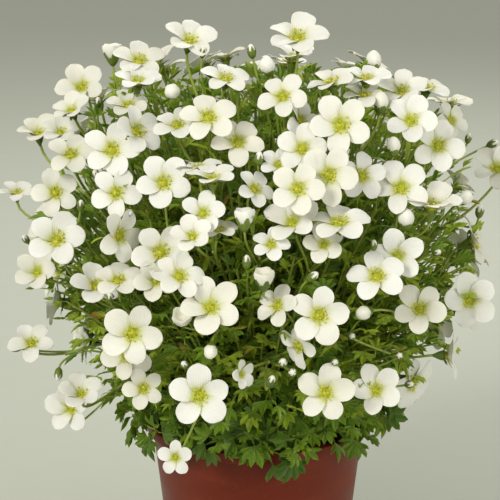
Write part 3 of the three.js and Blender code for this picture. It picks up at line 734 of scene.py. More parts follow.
FAR_BLOOM = {"smallest": 19, "largest": 27, "set back": 10, "uplift": 0.5, "stray": 0.7}
FAR_BUD = {"share": 0.45, "width": 9, "aside": 14}
STEM = {"foot": 1.0, "fork": 0.75, "sunk": 3, "foot spread": 0.33, "fork share": 0.8, "arch": 0.4}
STEM_WAVE = 1.2
STALK = {
    "root": 0.6, "neck": 0.62, "thinnest": 0.72, "spacing": 0.04, "below bloom": 0.6, "bloom neck": 0.5,
    "bud neck": 1.0, "leaves by": 0.3, "arrives by": 0.22,
}
STEM_STEPS = 12
STALK_STEPS = 7
STEM_GREEN = (0.29, 0.37, 0.055, 1)
STEM_DARK = (0.1, 0.155, 0.016, 1)
STEM_RUSSET = (0.24, 0.12, 0.035, 1)

UP = Vector((0, 0, 1))
seen_from = math.radians(GLOBE["seen from above"])
RIGHTWARD = Vector((1, 0, 0))
VIEW_UP = Vector((0, math.sin(seen_from), math.cos(seen_from)))
TO_VIEWER = Vector((0, -math.cos(seen_from), math.sin(seen_from)))
MIDDLE = Vector((0, 0, GLOBE["height"]))


def on_globe(across, up, back):
    """A place on the near side of the globe of flowers, set back towards the plant."""
    rise = up if up > 0 else up * GLOBE["lower stretch"]
    near = math.sqrt(max(GLOBE["radius"] ** 2 - across * across - rise * rise, 0)) - back
    return MIDDLE + RIGHTWARD * across + VIEW_UP * up + TO_VIEWER * near


def facing(turn, tip):
    """The way a bloom faces that is turned to the right of the viewer and tipped up."""
    turn, tip = math.radians(turn), math.radians(tip)
    level = TO_VIEWER * math.cos(turn) + RIGHTWARD * math.sin(turn)
    return level * math.cos(tip) + VIEW_UP * math.sin(tip)


def head(place, aim, radius, spin=0.0):
    """A bloom or bud: its place, the way it faces, its size, and the turn from +Z to that way."""
    turn = UP.rotation_difference(aim) @ Quaternion(UP, spin)
    return {"place": place, "aim": aim, "radius": radius, "turn": turn}


FIFTH = 2 * math.pi / 5
sprays = []
for i, (blooms, buds) in enumerate(NEAR_SPRAYS):
    heads = [
        head(on_globe(across, up, back), facing(turn, tip), width / 2, FIFTH * draw(10 * i + j, 1))
        for j, (across, up, width, turn, tip, back) in enumerate(blooms)
    ]
    tips = [
        head(on_globe(across, up, BUD_SET_BACK), facing(turn, tip), width / 2)
        for across, up, width, turn, tip in buds
    ]
    sprays.append({"blooms": heads, "buds": tips})
near_blooms = [bloom for spray in sprays for bloom in spray["blooms"]]


def way_out(height, turn):
    """A direction out of the globe of flowers, at a share of its height and a turn about its axis."""
    level = math.sqrt(1 - height * height)
    return Vector((level * math.cos(turn), level * math.sin(turn), height))


def under_crown(place, height):
    """Brings down a place that stands higher than the crown as it is seen, so the crown is flat."""
    over = (place - MIDDLE).dot(VIEW_UP) - height
    if over > 0:
        place = place + VIEW_UP * (CROWN["share"] - 1) * over
    return place


far_blooms = []
for i in range(FAR_SIDE["points"]):
    height = between(FAR_SIDE["highest"], FAR_SIDE["lowest"], (i + 0.5) / FAR_SIDE["points"])
    normal = way_out(height, i * GOLDEN_TURN)
    place = MIDDLE + normal * (FAR_SIDE["radius"] - FAR_BLOOM["set back"] * draw(i, 11))
    place = under_crown(place, CROWN["height"])
    if normal.dot(TO_VIEWER) * FAR_SIDE["radius"] > FAR_SIDE["depth"]:
        continue
    if any((place - bloom["place"]).length < FAR_SIDE["spacing"] for bloom in near_blooms + far_blooms):
        continue
    aim = (normal + UP * FAR_BLOOM["uplift"] + stray(i, 12) * FAR_BLOOM["stray"]).normalized()
    width = between(FAR_BLOOM["smallest"], FAR_BLOOM["largest"], draw(i, 15))
    far_blooms.append(head(place, aim, width / 2, FIFTH * draw(i, 16)))
far_sprays = []
for i, bloom in enumerate(far_blooms):
    for spray in far_sprays:
        near_enough = (spray["blooms"][0]["place"] - bloom["place"]).length < FAR_SPRAY["reach"]
        if near_enough and len(spray["blooms"]) < FAR_SPRAY["most blooms"]:
            break
    else:
        spray = {"blooms": [], "buds": []}
        far_sprays.append(spray)
    spray["blooms"].append(bloom)
    if draw(i, 17) <= FAR_BUD["share"]:
        aside = bloom["aim"].cross(UP).normalized() * FAR_BUD["aside"]
        spray["buds"].append(head(bloom["place"] + aside, bloom["aim"], FAR_BUD["width"] / 2))
sprays += far_sprays


def numbered(kind):
    """Every bloom or bud of the plant, with a number of its own."""
    return [(10 * i + j, each) for i, spray in enumerate(sprays) for j, each in enumerate(spray[kind])]


all_blooms, all_buds = numbered("blooms"), numbered("buds")


def bow(first, control, last, t):
    """A place along a course with one bend."""
    return first * (1 - t) ** 2 + control * 2 * t * (1 - t) + last * t * t


def double_bow(first, leaving, arriving, last, t):
    """A place along a course with two bends."""
    s = 1 - t
    return first * s ** 3 + leaving * 3 * t * s ** 2 + arriving * 3 * t * t * s + last * t ** 3


def stem_course(spray):
    """The foot, the bend and the fork of a spray's stem."""
    blooms = spray["blooms"]
    necks = [bloom["place"] - bloom["aim"] * STALK["below bloom"] * bloom["radius"] for bloom in blooms]
    middle = sum(necks, Vector()) / len(necks)
    spread = STEM["foot spread"]
    foot = Vector((middle.x * spread, middle.y * spread, 0))
    foot.z = dome_height(foot.length) - STEM["sunk"]
    fork = foot.lerp(middle, STEM["fork share"])
    return foot, foot + UP * STEM["arch"] * (fork - foot).length, fork


def wires(name):
    """A layout of fine lines to be drilled round: corners, edges, and each corner's girth and tone."""
    return {"name": name, "corners": [], "edges": [], "girth": [], "tone": []}


def run_wire(into, points, girths, tones):
    """Adds one line to a layout."""
    first = len(into["corners"])
    into["corners"] += [point * MM for point in points]
    into["edges"] += [(first + k, first + k + 1) for k in range(len(points) - 1)]
    into["girth"] += [girth * MM for girth in girths]
    into["tone"] += list(tones)


def wiring():
    """The tree that gives round, closed flesh to a layout of lines, as thick as their girth says."""
    tree, given = new_tree(
        "plant stems", ("Finish", "Material", None), ("Sides", "Int", 6), ("Girth", "Float", 1.0)
    )
    lines = add(tree, "GeometryNodeMeshToCurve", {"Mesh": given["Geometry"]}).outputs[0]
    girth = reckoned(tree, "MULTIPLY", kept(tree, "girth"), given["Girth"])
    round_section = add(
        tree, "GeometryNodeCurvePrimitiveCircle", {"Resolution": given["Sides"], "Radius": 1.0}
    ).outputs[0]
    flesh = add(
        tree, "GeometryNodeCurveToMesh",
        {"Curve": lines, "Profile Curve": round_section, "Scale": girth, "Fill Caps": True},
    ).outputs[0]
    ending(tree, flesh, given["Finish"])
    return tree


flesh_on_lines = wiring()


def wired(into, finish, sides):
    """A plain piece made from a layout of lines."""
    layout = bpy.data.meshes.new(into["name"] + " layout")
    layout.from_pydata(into["corners"], into["edges"], [])
    put(layout, "girth", into["girth"])
    put(layout, "tone", into["tone"])
    return grown(into["name"], layout, flesh_on_lines, Finish=finish, Sides=sides, Girth=1.0)


stem_skin, tree, surface = new_finish("saxifrage stem")
stem_tone = carried(tree, "tone")
streaks = noise(tree, 500, 3, 0.6, (1, 1, 0.25))
stem_colour = blended(tree, levels(tree, stem_tone, 0.0, 0.5), STEM_DARK, STEM_GREEN)
stem_colour = blended(tree, levels(tree, stem_tone, 0.72, 1.0, 0, 0.85), stem_colour, STEM_RUSSET)
stem_colour = blended(tree, levels(tree, streaks, 0.45, 0.75, 0, 0.35), stem_colour, STEM_DARK)
coat(
    tree, surface, stem_colour, levels(tree, streaks, 0.3, 0.7, 0.42, 0.58),
    Subsurface_Weight=0.1, Subsurface_Scale=0.001,
)
roughened(tree, surface, streaks, 0.3, 0.0002)

stem_lines = wires("stems_and_stalks")
for i, spray in enumerate(sprays):
    foot, control, fork = spray["course"] = stem_course(spray)
    redness = draw(i, 41)
    shares = [k / STEM_STEPS for k in range(STEM_STEPS + 1)]
    swing = (fork - foot).cross(UP)
    swing = swing.normalized() if swing.length > 1 else RIGHTWARD
    wave = between(-STEM_WAVE, STEM_WAVE, draw(i, 42))
    points = [bow(foot, control, fork, t) + swing * wave * math.sin(2 * math.pi * t) * t for t in shares]
    run_wire(
        stem_lines, points, [between(STEM["foot"], STEM["fork"], t) for t in shares],
        [between(0.15, 0.75, t) * 0.7 + 0.35 * redness for t in shares],
    )
    growths = [(bloom, STALK["bloom neck"]) for bloom in spray["blooms"]]
    growths += [(bud, STALK["bud neck"]) for bud in spray["buds"]]
    for k, (growth, neck_depth) in enumerate(growths):
        share = 1 - STALK["spacing"] * (k + 1)
        root = bow(foot, control, fork, share)
        neck = growth["place"] - growth["aim"] * neck_depth * growth["radius"]
        reach = (neck - root).length
        leaving = root + (fork - control).normalized() * reach * STALK["leaves by"]
        arriving = neck - growth["aim"] * reach * STALK["arrives by"]
        shares = [j / STALK_STEPS for j in range(STALK_STEPS + 1)]
        points = [double_bow(root, leaving, arriving, neck, t) for t in shares]
        growth["root"] = (root, leaving)
        thin = between(STALK["thinnest"], 1.0, min(1, growth["radius"] / 10))
        tone = between(0.3, 1.0, draw(10 * i + k, 43))
        run_wire(
            stem_lines, points, [between(STALK["root"], STALK["neck"], t) * thin for t in shares],
            [between(tone, 0.5, t) for t in shares],
        )
stems = wired(stem_lines, stem_skin, 6)
spray_nodes = sorted(node for node in frame["nodes"] if node.startswith("spray_"))


def stands_for_sprays(made):
    """Puts a finer piece in the place of the sprays."""
    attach(made, "root")
    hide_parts(*spray_nodes)


stands_for_sprays(stems)

# The leafy shoots and stem leaves
# Young shoots fill the plant between the cushion and the flowers, each a thin stem with leaves set
# round it in a spiral, and the flowering stems carry a few narrow or three-lobed leaves that get
# smaller towards the fork.
SHOOTS = {"count": 236, "top": 0.985, "low": -0.5, "nearest": 0.55, "furthest": 0.93, "foot spread": 0.4}
HIGH_SHOOTS = {
    "count": 150, "top": 0.99, "low": 0.0, "nearest": 0.74, "furthest": 0.92, "foot spread": 0.45
}
LOW_SHOOTS = {
    "count": 170, "top": 0.0, "low": -0.74, "nearest": 0.8, "furthest": 0.95, "foot spread": 0.5
}
SHOOT = {
    "foot": 0.8, "tip": 0.45, "arch": 0.3, "lean": 6, "steps": 9, "leaf gap": 5.2, "bare": 0.36,
    "below crown": 12, "darkest": 0.1, "palest": 0.7,
}
SHOOT_LEAF = {
    "shortest": 11, "longest": 21, "share at foot": 1.1, "share at tip": 0.8, "out at foot": 1.4,
    "out at tip": 0.5, "roll": 0.9, "darkest": 0.2, "palest": 1.0,
}
LEAF_STRAY = {"swell": 0.1, "sway": 0.12}
BRACTS = {"along": 0.12, "shortest": 4, "longest": 8, "out": 0.8, "tone": 0.6}
STEM_LEAVES = {
    "count": 7, "first": 0.22, "last": 0.97, "spacing stray": 0.6, "longest": 18, "shortest": 7,
    "narrow above": 0.6, "roll": 0.6, "darkest": 0.25, "palest": 1.0,
}

narrow_shapes = [
    narrow_leaf("narrow straight", 0.14, 0.095, 0.2),
    narrow_leaf("narrow bent", 0.14, 0.08, 0.6),
    narrow_leaf("narrow broad", 0.16, 0.12, 0.4),
]
three_and_five = leaf_shapes((0.2, 0.55))
shoot_shapes = three_and_five[0:2] + three_and_five[3:5] + narrow_shapes[:2]
shoot_lines = wires("leafy_shoots")
shoot_spots, high_spots, low_spots = [], [], []


def leafy_shoot(spots, foot, control, tip, seed):
    """Adds a shoot's stem, and its leaves in a spiral that closes up towards the tip."""
    shares = [k / SHOOT["steps"] for k in range(SHOOT["steps"] + 1)]
    tone = between(SHOOT["darkest"], SHOOT["palest"], draw(seed, 62))
    run_wire(
        shoot_lines, [bow(foot, control, tip, t) for t in shares],
        [between(SHOOT["foot"], SHOOT["tip"], t) for t in shares], [tone] * len(shares),
    )
    leaf_count = max(4, int((tip - foot).length * (1 - SHOOT["bare"]) / SHOOT["leaf gap"]))
    for k in range(leaf_count):
        t = between(SHOOT["bare"], 1.0, (k + 1) / leaf_count)
        root = bow(foot, control, tip, t)
        before, after = bow(foot, control, tip, t - 0.02), bow(foot, control, tip, min(1, t + 0.02))
        ahead = (after - before).normalized()
        side = ahead.cross(Vector((0.3, 0.2, 1))).normalized()
        around = side * math.cos(k * GOLDEN_TURN) + side.cross(ahead) * math.sin(k * GOLDEN_TURN)
        direction = ahead + around * between(SHOOT_LEAF["out at foot"], SHOOT_LEAF["out at tip"], t ** 3)
        each = 40 * seed + k
        length = between(SHOOT_LEAF["shortest"], SHOOT_LEAF["longest"], draw(each, 63))
        length *= between(SHOOT_LEAF["share at foot"], SHOOT_LEAF["share at tip"], t)
        shape = int(len(shoot_shapes) * draw(each, 64))
        tone = between(SHOOT_LEAF["darkest"], SHOOT_LEAF["palest"], draw(each, 65))
        turn = laid_along(direction, (draw(each, 66) - 0.5) * SHOOT_LEAF["roll"])
        spots.append((root, turn, length, shape, tone))


def globe_of_shoots(spots, rule, first_seed):
    """Sends shoots from the cushion towards the points of a golden spiral over the globe of flowers."""
    for i in range(rule["count"]):
        height = between(rule["top"], rule["low"], (i + 0.5) / rule["count"])
        normal = way_out(height, i * GOLDEN_TURN + 0.7 + first_seed)
        seed = first_seed + i
        reach = between(rule["nearest"], rule["furthest"], draw(seed, 61))
        tip = MIDDLE + normal * GLOBE["radius"] * reach
        tip = under_crown(tip, CROWN["height"] - SHOOT["below crown"])
        foot = Vector((tip.x * rule["foot spread"], tip.y * rule["foot spread"], 0))
        foot.z = dome_height(foot.length) - STEM["sunk"]
        control = foot + UP * SHOOT["arch"] * (tip - foot).length + normal * SHOOT["lean"]
        leafy_shoot(spots, foot, control, tip, seed)


globe_of_shoots(shoot_spots, SHOOTS, 0)
globe_of_shoots(high_spots, HIGH_SHOOTS, 1000)
globe_of_shoots(low_spots, LOW_SHOOTS, 500)
shoot_stems = wired(shoot_lines, stem_skin, 5)
shoot_leaves = scattered("shoot_leaves", shoot_shapes, shoot_spots, leaf_skin, seed=17, **LEAF_STRAY)
high_leaves = scattered("high_shoot_leaves", shoot_shapes, high_spots, leaf_skin, seed=41, **LEAF_STRAY)
low_leaves = scattered("low_shoot_leaves", three_and_five, low_spots, leaf_skin, seed=18, **LEAF_STRAY)

stem_leaf_shapes = narrow_shapes + leaf_shapes((0.3,))[:2]
stem_leaf_spots = []
for i, spray in enumerate(sprays):
    foot, control, fork = spray["course"]
    for k in range(STEM_LEAVES["count"]):
        seed = 20 * i + k
        share = (k + STEM_LEAVES["spacing stray"] * draw(seed, 71)) / STEM_LEAVES["count"]
        t = between(STEM_LEAVES["first"], STEM_LEAVES["last"], share)
        ahead = (control.lerp(fork, t) - foot.lerp(control, t)).normalized()
        side = ahead.cross(Vector((0.2, 0.3, 1))).normalized()
        around = side * math.cos(seed * GOLDEN_TURN) + side.cross(ahead) * math.sin(seed * GOLDEN_TURN)
        direction = ahead * between(0.5, 1.0, draw(seed, 72)) + around
        length = between(STEM_LEAVES["longest"], STEM_LEAVES["shortest"], t)
        length *= between(0.8, 1.15, draw(seed, 73))
        choice = len(narrow_shapes if t >= STEM_LEAVES["narrow above"] else stem_leaf_shapes)
        shape = int(choice * draw(seed, 74))
        tone = between(STEM_LEAVES["darkest"], STEM_LEAVES["palest"], draw(seed, 75))
        turn = laid_along(direction, (draw(seed, 76) - 0.5) * STEM_LEAVES["roll"])
        stem_leaf_spots.append((bow(foot, control, fork, t), turn, length, shape, tone))
for i, spray in enumerate(sprays):
    for k, growth in enumerate(spray["blooms"] + spray["buds"]):
        seed = 20 * i + k
        root, leaving = growth["root"]
        ahead = (leaving - root).normalized()
        turn = laid_along(ahead + stray(seed, 77).normalized() * BRACTS["out"])
        length = between(BRACTS["shortest"], BRACTS["longest"], draw(seed, 80))
        place = root.lerp(leaving, BRACTS["along"])
        shape = int(len(narrow_shapes) * draw(seed, 81))
        stem_leaf_spots.append((place, turn, length, shape, BRACTS["tone"]))
stem_leaves = scattered("stem_leaves", stem_leaf_shapes, stem_leaf_spots, leaf_skin, seed=19, **LEAF_STRAY)
for piece in (shoot_stems, shoot_leaves, high_leaves, low_leaves, stem_leaves):
    stands_for_sprays(piece)

# The calyces
# Under each bloom a small green cup swells from the stalk and opens in five pointed sepals, which
# show between the petals. The same cup holds each bud, with its sepals laid up against it.
CUP = {"neck": 0.055, "belly": 0.15, "mouth": 0.2, "depth": 0.52, "sides": 10}
CUP_GREEN = (0.14, 0.2, 0.02, 1)
CUP_DARK = (0.07, 0.115, 0.012, 1)
CUP_RUSSET = (0.16, 0.06, 0.02, 1)

cup_skin, tree, surface = new_finish("calyx")
cup_tone = carried(tree, "tone")
cup_along = carried(tree, "along")
downy = noise(tree, 900, 3, 0.6)
cup_colour = blended(tree, levels(tree, cup_tone, 0.1, 0.9), CUP_DARK, CUP_GREEN)
cup_colour = blended(tree, levels(tree, cup_along, 0.75, 1.0, 0, 0.5), cup_colour, CUP_RUSSET)
cup_colour = blended(tree, levels(tree, downy, 0.5, 0.7, 0, 0.3), cup_colour, CUP_DARK)
coat(
    tree, surface, cup_colour, levels(tree, downy, 0.3, 0.7, 0.45, 0.62),
    Subsurface_Weight=0.12, Subsurface_Scale=0.001,
)
roughened(tree, surface, downy, 0.4, 0.0002)


def sepal(corners, faces, turn, course):
    """Adds a sepal at a turn about +Z. Its course lists (out, up, half width, thickness), tip last."""
    around = Matrix.Rotation(turn, 3, "Z")
    rings = []
    for out, up, half, thickness in course[:-1]:
        rings.append(
            [around @ Vector(at) for at in (
                (out, -half, up), (out + 0.3 * half, 0, up - 0.1 * half), (out, half, up),
                (out + thickness, 0, up - thickness),
            )]
        )
    tip_out, tip_up = course[-1]
    strip(corners, faces, rings, around @ Vector((tip_out, 0, tip_up)))


def calyx_shape(name, course, profile):
    """A cup with five sepals, one unit being the radius of its bloom."""
    corners, faces = turned([Vector(at) for at in profile], CUP["sides"])
    corners = [Vector(corner) for corner in corners]
    along = [0.3] * len(corners)
    for k in range(5):
        before = len(corners)
        sepal(corners, faces, FIFTH * k, course)
        count = len(corners) - before
        along += [0.3 + 0.7 * (j // 4) * 4 / (count - 1) for j in range(count)]
    made = mesh_of(name, corners, faces, 45)
    put(made, "along", along)
    return made


bloom_cup = [
    (0, -CUP["depth"]), (CUP["neck"], -CUP["depth"]), (0.09, -0.42), (CUP["belly"], -0.3),
    (CUP["mouth"] * 0.95, -0.17), (CUP["mouth"], -0.06), (0.15, -0.01), (0, -0.01),
]
calyx_shapes = [
    calyx_shape("open calyx", [
        (0.17, -0.09, 0.075, 0.03), (0.3, -0.06, 0.09, 0.028), (0.42, -0.07, 0.06, 0.02), (0.54, -0.1)
    ], bloom_cup),
    calyx_shape("raised calyx", [
        (0.17, -0.09, 0.075, 0.03), (0.29, -0.02, 0.085, 0.028), (0.38, 0.02, 0.055, 0.02), (0.47, 0.04)
    ], bloom_cup),
]
calyx_spots = []
for seed, bloom in all_blooms:
    tone = between(0.2, 1.0, draw(seed, 81))
    shape = int(len(calyx_shapes) * draw(seed, 82))
    calyx_spots.append((bloom["place"], bloom["turn"], bloom["radius"], shape, tone))
calyces = scattered("calyces", calyx_shapes, calyx_spots, cup_skin, seed=23, swell=0.04, sway=0.03)
stands_for_sprays(calyces)

# The petals
# Five broad white petals a bloom, narrow at the claw, rounded and slightly crimped at the tip. Each
# lies with one edge over the next, thin enough to let light through, with faint veins that fan out
# from a greenish-yellow claw.
PETAL = {"claw": 0.05, "widest": 0.59, "thickness": 0.016, "tip": 0.417}
PETAL_ROWS = (0.0, 0.12, 0.27, 0.42, 0.56, 0.68, 0.78, 0.865, 0.93, 0.975, 1.0)
PETAL_COLUMNS = (-1.0, -0.72, -0.36, 0.0, 0.36, 0.72, 1.0)
PETAL_LAY = {
    "folded back": -6, "closed": 16, "lowest": -5, "highest": 6, "turn stray": 4,
    "least overlap": 5, "most overlap": 10,
    "smallest": 0.95, "largest": 1.03, "tone stray": 0.1,
}
VEIN_CLOSENESS = 30.0
RAY_REACH = 0.09
PETAL_WHITE = (0.84, 0.835, 0.77, 1)
PETAL_CREAM = (0.77, 0.755, 0.63, 1)
PETAL_SHADE = (0.57, 0.58, 0.44, 1)
PETAL_CLAW = (0.42, 0.46, 0.025, 1)
CLAW_RAY = (0.5, 0.55, 0.11, 1)

petal_skin, tree, surface = new_finish("white petal")
petal_tone = carried(tree, "tone")
along = carried(tree, "along")
across = carried(tree, "across")
ribs = reckoned(tree, "SINE", reckoned(tree, "MULTIPLY", across, VEIN_CLOSENESS))
petal_cloud = noise(tree, 260, 3, 0.55)
veins = levels(tree, ribs, 0.35, 1.0)
vein_depth = reckoned(tree, "MULTIPLY", veins, levels(tree, along, 0.2, 0.9, 0.2, 0.06))
white = blended(tree, levels(tree, petal_tone, 0.1, 0.95), PETAL_CREAM, PETAL_WHITE)
white = blended(tree, levels(tree, petal_cloud, 0.5, 0.8, 0, 0.25), white, PETAL_CREAM)
white = blended(tree, vein_depth, white, PETAL_SHADE)
claw_from = reckoned(tree, "SUBTRACT", along, reckoned(tree, "MULTIPLY", veins, RAY_REACH))
white = blended(tree, levels(tree, claw_from, 0.06, 0.44, 0.8, 0), white, CLAW_RAY)
white = blended(tree, levels(tree, along, 0.06, 0.27, 0.95, 0), white, PETAL_CLAW)
coat(
    tree, surface, white, levels(tree, petal_cloud, 0.3, 0.7, 0.5, 0.62), Specular_IOR_Level=0.35,
    Subsurface_Weight=0.25, Subsurface_Radius=(1.0, 0.95, 0.7), Subsurface_Scale=0.0018,
)
roughened(tree, surface, ribs, 0.12, 0.0002)


def petal_width(t, half):
    """Half a petal's width, at a share of its length from claw to tip."""
    if t < PETAL["widest"]:
        fullness = (1 - ((t - PETAL["widest"]) / PETAL["widest"]) ** 2) ** 0.62
    else:
        fullness = math.sqrt(1 - ((t - PETAL["widest"]) / PETAL["tip"]) ** 2)
    return max(PETAL["claw"], half * fullness)


def petal_shape(name, half, rise, droop, trough, crimp, notch):
    """A petal one unit long along +X with its inner face up, as a closed thin blade."""
    upper = []
    for t in PETAL_ROWS:
        for s in PETAL_COLUMNS:
            width = petal_width(t, half)
            x = 0.04 + 0.96 * t - 0.025 * s * s * t ** 3 - notch * math.exp(-((s / 0.3) ** 2)) * t ** 8
            z = rise * t - droop * t * t + trough * (s * s) * (1 - 0.9 * t) * t * 2
            z += crimp * math.sin(9 * t + 4 * s) * abs(s) * t - 0.04 * s * s * t ** 4
            upper.append(Vector((x, s * width, z)))
    columns, rows = len(PETAL_COLUMNS), len(PETAL_ROWS)
    lower = [corner - Vector((0, 0, PETAL["thickness"])) for corner in upper]
    below = len(upper)
    faces = []
    for i in range(rows - 1):
        for j in range(columns - 1):
            a, b = i * columns + j, (i + 1) * columns + j
            faces.append((a, b, b + 1, a + 1))
            faces.append((below + a, below + a + 1, below + b + 1, below + b))
    edge = list(range(columns))
    edge += [i * columns + columns - 1 for i in range(1, rows)]
    edge += [(rows - 1) * columns + j for j in range(columns - 2, -1, -1)]
    edge += [i * columns for i in range(rows - 2, 0, -1)]
    for here, after in zip(edge, edge[1:] + edge[:1]):
        faces.append((here, after, below + after, below + here))
    made = mesh_of(name, upper + lower, faces, 60)
    put(made, "along", [t for t in PETAL_ROWS for s in PETAL_COLUMNS] * 2)
    put(made, "across", [s for t in PETAL_ROWS for s in PETAL_COLUMNS] * 2)
    return made


petal_shapes = [
    petal_shape("petal open", 0.36, 0.42, 0.24, 0.12, 0.01, 0.01),
    petal_shape("petal cupped", 0.38, 0.46, 0.2, 0.22, 0.012, 0.0),
    petal_shape("petal folded back", 0.355, 0.54, 0.42, 0.1, 0.015, 0.012),
    petal_shape("petal crimped", 0.365, 0.44, 0.26, 0.14, 0.028, 0.02),
    petal_shape("petal narrow", 0.33, 0.44, 0.24, 0.16, 0.014, 0.0),
    petal_shape("petal broad", 0.39, 0.42, 0.26, 0.1, 0.016, 0.016),
]
petal_spots = []
for seed, bloom in all_blooms:
    opening = between(PETAL_LAY["folded back"], PETAL_LAY["closed"], draw(seed, 91) ** 1.3)
    tone = between(0.15, 1.0, draw(seed, 92))
    for k in range(5):
        each = 5 * seed + k
        around = between(-PETAL_LAY["turn stray"], PETAL_LAY["turn stray"], draw(each, 93))
        around = FIFTH * (k + 0.5) + math.radians(around)
        lifted = opening + between(PETAL_LAY["lowest"], PETAL_LAY["highest"], draw(each, 94))
        rolled = between(PETAL_LAY["least overlap"], PETAL_LAY["most overlap"], draw(each, 95))
        turn = bloom["turn"] @ Quaternion((0, 0, 1), around)
        turn = turn @ Quaternion((0, 1, 0), math.radians(-lifted))
        turn = turn @ Quaternion((1, 0, 0), math.radians(rolled))
        size = bloom["radius"] * between(PETAL_LAY["smallest"], PETAL_LAY["largest"], draw(each, 96))
        own_tone = tone + between(-PETAL_LAY["tone stray"], PETAL_LAY["tone stray"], draw(each, 97))
        own_tone = min(1, max(0, own_tone))
        shape = int(len(petal_shapes) * draw(each, 98))
        petal_spots.append((bloom["place"], turn, size, shape, own_tone))
petals = scattered("petals", petal_shapes, petal_spots, petal_skin, seed=29, swell=0.02, sway=0.03)
stands_for_sprays(petals)

# The hearts of the blooms
# A domed yellow-green ovary with two short styles, and ten stamens round it: pale threads that
# stand up and out, with a plump yellow anther on each. The sizes are shares of the bloom's radius.
OVARY = {"height": 0.1, "sides": 10}
OVARY_COURSE = ((0, -0.03), (0.17, -0.03), (0.175, 0.015), (0.15, 0.06), (0.08, 0.1), (0, 0.11))
STYLES = {"length": 0.13, "lean": 28, "girth": 0.02, "apart": 0.08, "curl": 0.05}
STAMENS = {
    "count": 10, "root": 0.12, "out": 0.24, "out stray": 0.05, "up": 0.15, "up stray": 0.06,
    "girth": 0.014, "low": 0.02, "bow": 0.02, "sag": 0.015,
}
ANTHER = {"length": 0.05, "girth": 0.04}
ANTHER_FACES = (
    (0, 1, 2), (1, 3, 2), (3, 4, 2), (4, 0, 2), (1, 0, 5), (3, 1, 5), (4, 3, 5), (0, 4, 5)
)
OVARY_GREEN = (0.5, 0.51, 0.01, 1)
OVARY_DEEP = (0.27, 0.3, 0.008, 1)
ANTHER_YELLOW = (0.6, 0.54, 0.03, 1)
THREAD_PALE = (0.52, 0.54, 0.12, 1)
PART = {"ovary": 0.0, "thread": 0.5, "anther": 1.0}

heart_skin, tree, surface = new_finish("ovary and stamens")
part = carried(tree, "part")
grain = noise(tree, 1500, 3, 0.6)
ovary_colour = blended(tree, levels(tree, grain, 0.35, 0.7), OVARY_GREEN, OVARY_DEEP)
heart_colour = blended(tree, levels(tree, part, 0.2, 0.4), ovary_colour, THREAD_PALE)
heart_colour = blended(tree, levels(tree, part, 0.7, 0.9), heart_colour, ANTHER_YELLOW)
coat(
    tree, surface, heart_colour, levels(tree, grain, 0.3, 0.7, 0.35, 0.6),
    Subsurface_Weight=0.2, Subsurface_Scale=0.0008,
)
roughened(tree, surface, grain, 0.5, 0.0002)


def cone(corners, faces, points, girths):
    """Adds a closed three-sided thread through some points."""
    first, count = len(corners), len(points)
    ahead = (points[-1] - points[0]).normalized()
    side = ahead.cross(Vector((0.31, 0.17, 0.93))).normalized()
    other = ahead.cross(side)
    for point, girth in zip(points, girths):
        for k in range(3):
            angle = 2 * math.pi * k / 3
            corners.append(point + (side * math.cos(angle) + other * math.sin(angle)) * girth)
    faces.append((first + 2, first + 1, first))
    for i in range(count - 1):
        for k in range(3):
            here, after = first + 3 * i + k, first + 3 * i + (k + 1) % 3
            faces.append((here, after, after + 3, here + 3))
    end = first + 3 * (count - 1)
    faces.append((end, end + 1, end + 2))


def anther(corners, faces, place, ahead, length, girth):
    """Adds a plump grain with eight faces, its long way across the thread that carries it."""
    side = ahead.cross(Vector((0.2, 0.1, 1))).normalized()
    over = side.cross(ahead)
    first = len(corners)
    corners.extend([place + side * length, place + ahead * girth, place + over * girth])
    corners.extend([place - side * length, place - ahead * girth, place - over * girth])
    for a, b, c in ANTHER_FACES:
        faces.append((first + a, first + b, first + c))


def heart_shape(name, seed):
    """The heart of a bloom one unit in radius."""
    corners, faces = turned([Vector(at) for at in OVARY_COURSE], OVARY["sides"])
    corners = [Vector(corner) for corner in corners]
    parts = [PART["ovary"]] * len(corners)
    for side in (0, 1):
        lean = math.radians(STYLES["lean"])
        turn = math.pi * side + seed
        outward = Vector((math.cos(turn), math.sin(turn), 0)) * math.sin(lean)
        ahead = outward + UP * math.cos(lean)
        foot = outward * STYLES["apart"] + UP * OVARY["height"] * 0.8
        top = foot + ahead * STYLES["length"] + outward * STYLES["curl"]
        girths = [STYLES["girth"] * share for share in (1.6, 1, 1.3)]
        cone(corners, faces, [foot, foot + ahead * STYLES["length"] * 0.6, top], girths)
    parts += [PART["ovary"]] * (len(corners) - len(parts))
    for k in range(STAMENS["count"]):
        turn = 2 * math.pi * (k + 0.5 * (draw(seed * 10 + k, 101) - 0.5)) / STAMENS["count"]
        out = STAMENS["out"] + STAMENS["out stray"] * (draw(seed * 10 + k, 102) - 0.5) * 2
        up = STAMENS["up"] + STAMENS["up stray"] * (draw(seed * 10 + k, 103) - 0.5) * 2
        level = Vector((math.cos(turn), math.sin(turn), 0))
        foot = level * STAMENS["root"] + UP * STAMENS["low"]
        top = level * out + UP * up
        middle = foot.lerp(top, 0.5) + level * STAMENS["bow"] - UP * STAMENS["sag"]
        cone(corners, faces, [foot, middle, top], [STAMENS["girth"]] * 3)
        parts += [PART["thread"]] * (len(corners) - len(parts))
        anther(corners, faces, top, (top - middle).normalized(), ANTHER["length"], ANTHER["girth"])
        parts += [PART["anther"]] * (len(corners) - len(parts))
    made = mesh_of(name, corners, faces, 65)
    put(made, "part", parts)
    return made


heart_spots = [
    (bloom["place"], bloom["turn"], bloom["radius"], int(4 * draw(seed, 111)), 0.5)
    for seed, bloom in all_blooms
]
heart_shapes = [heart_shape(f"heart {seed}", seed) for seed in (1, 2, 3, 4)]
hearts = scattered("flower_hearts", heart_shapes, heart_spots, heart_skin, seed=31, swell=0.08, sway=0.08)
stands_for_sprays(hearts)

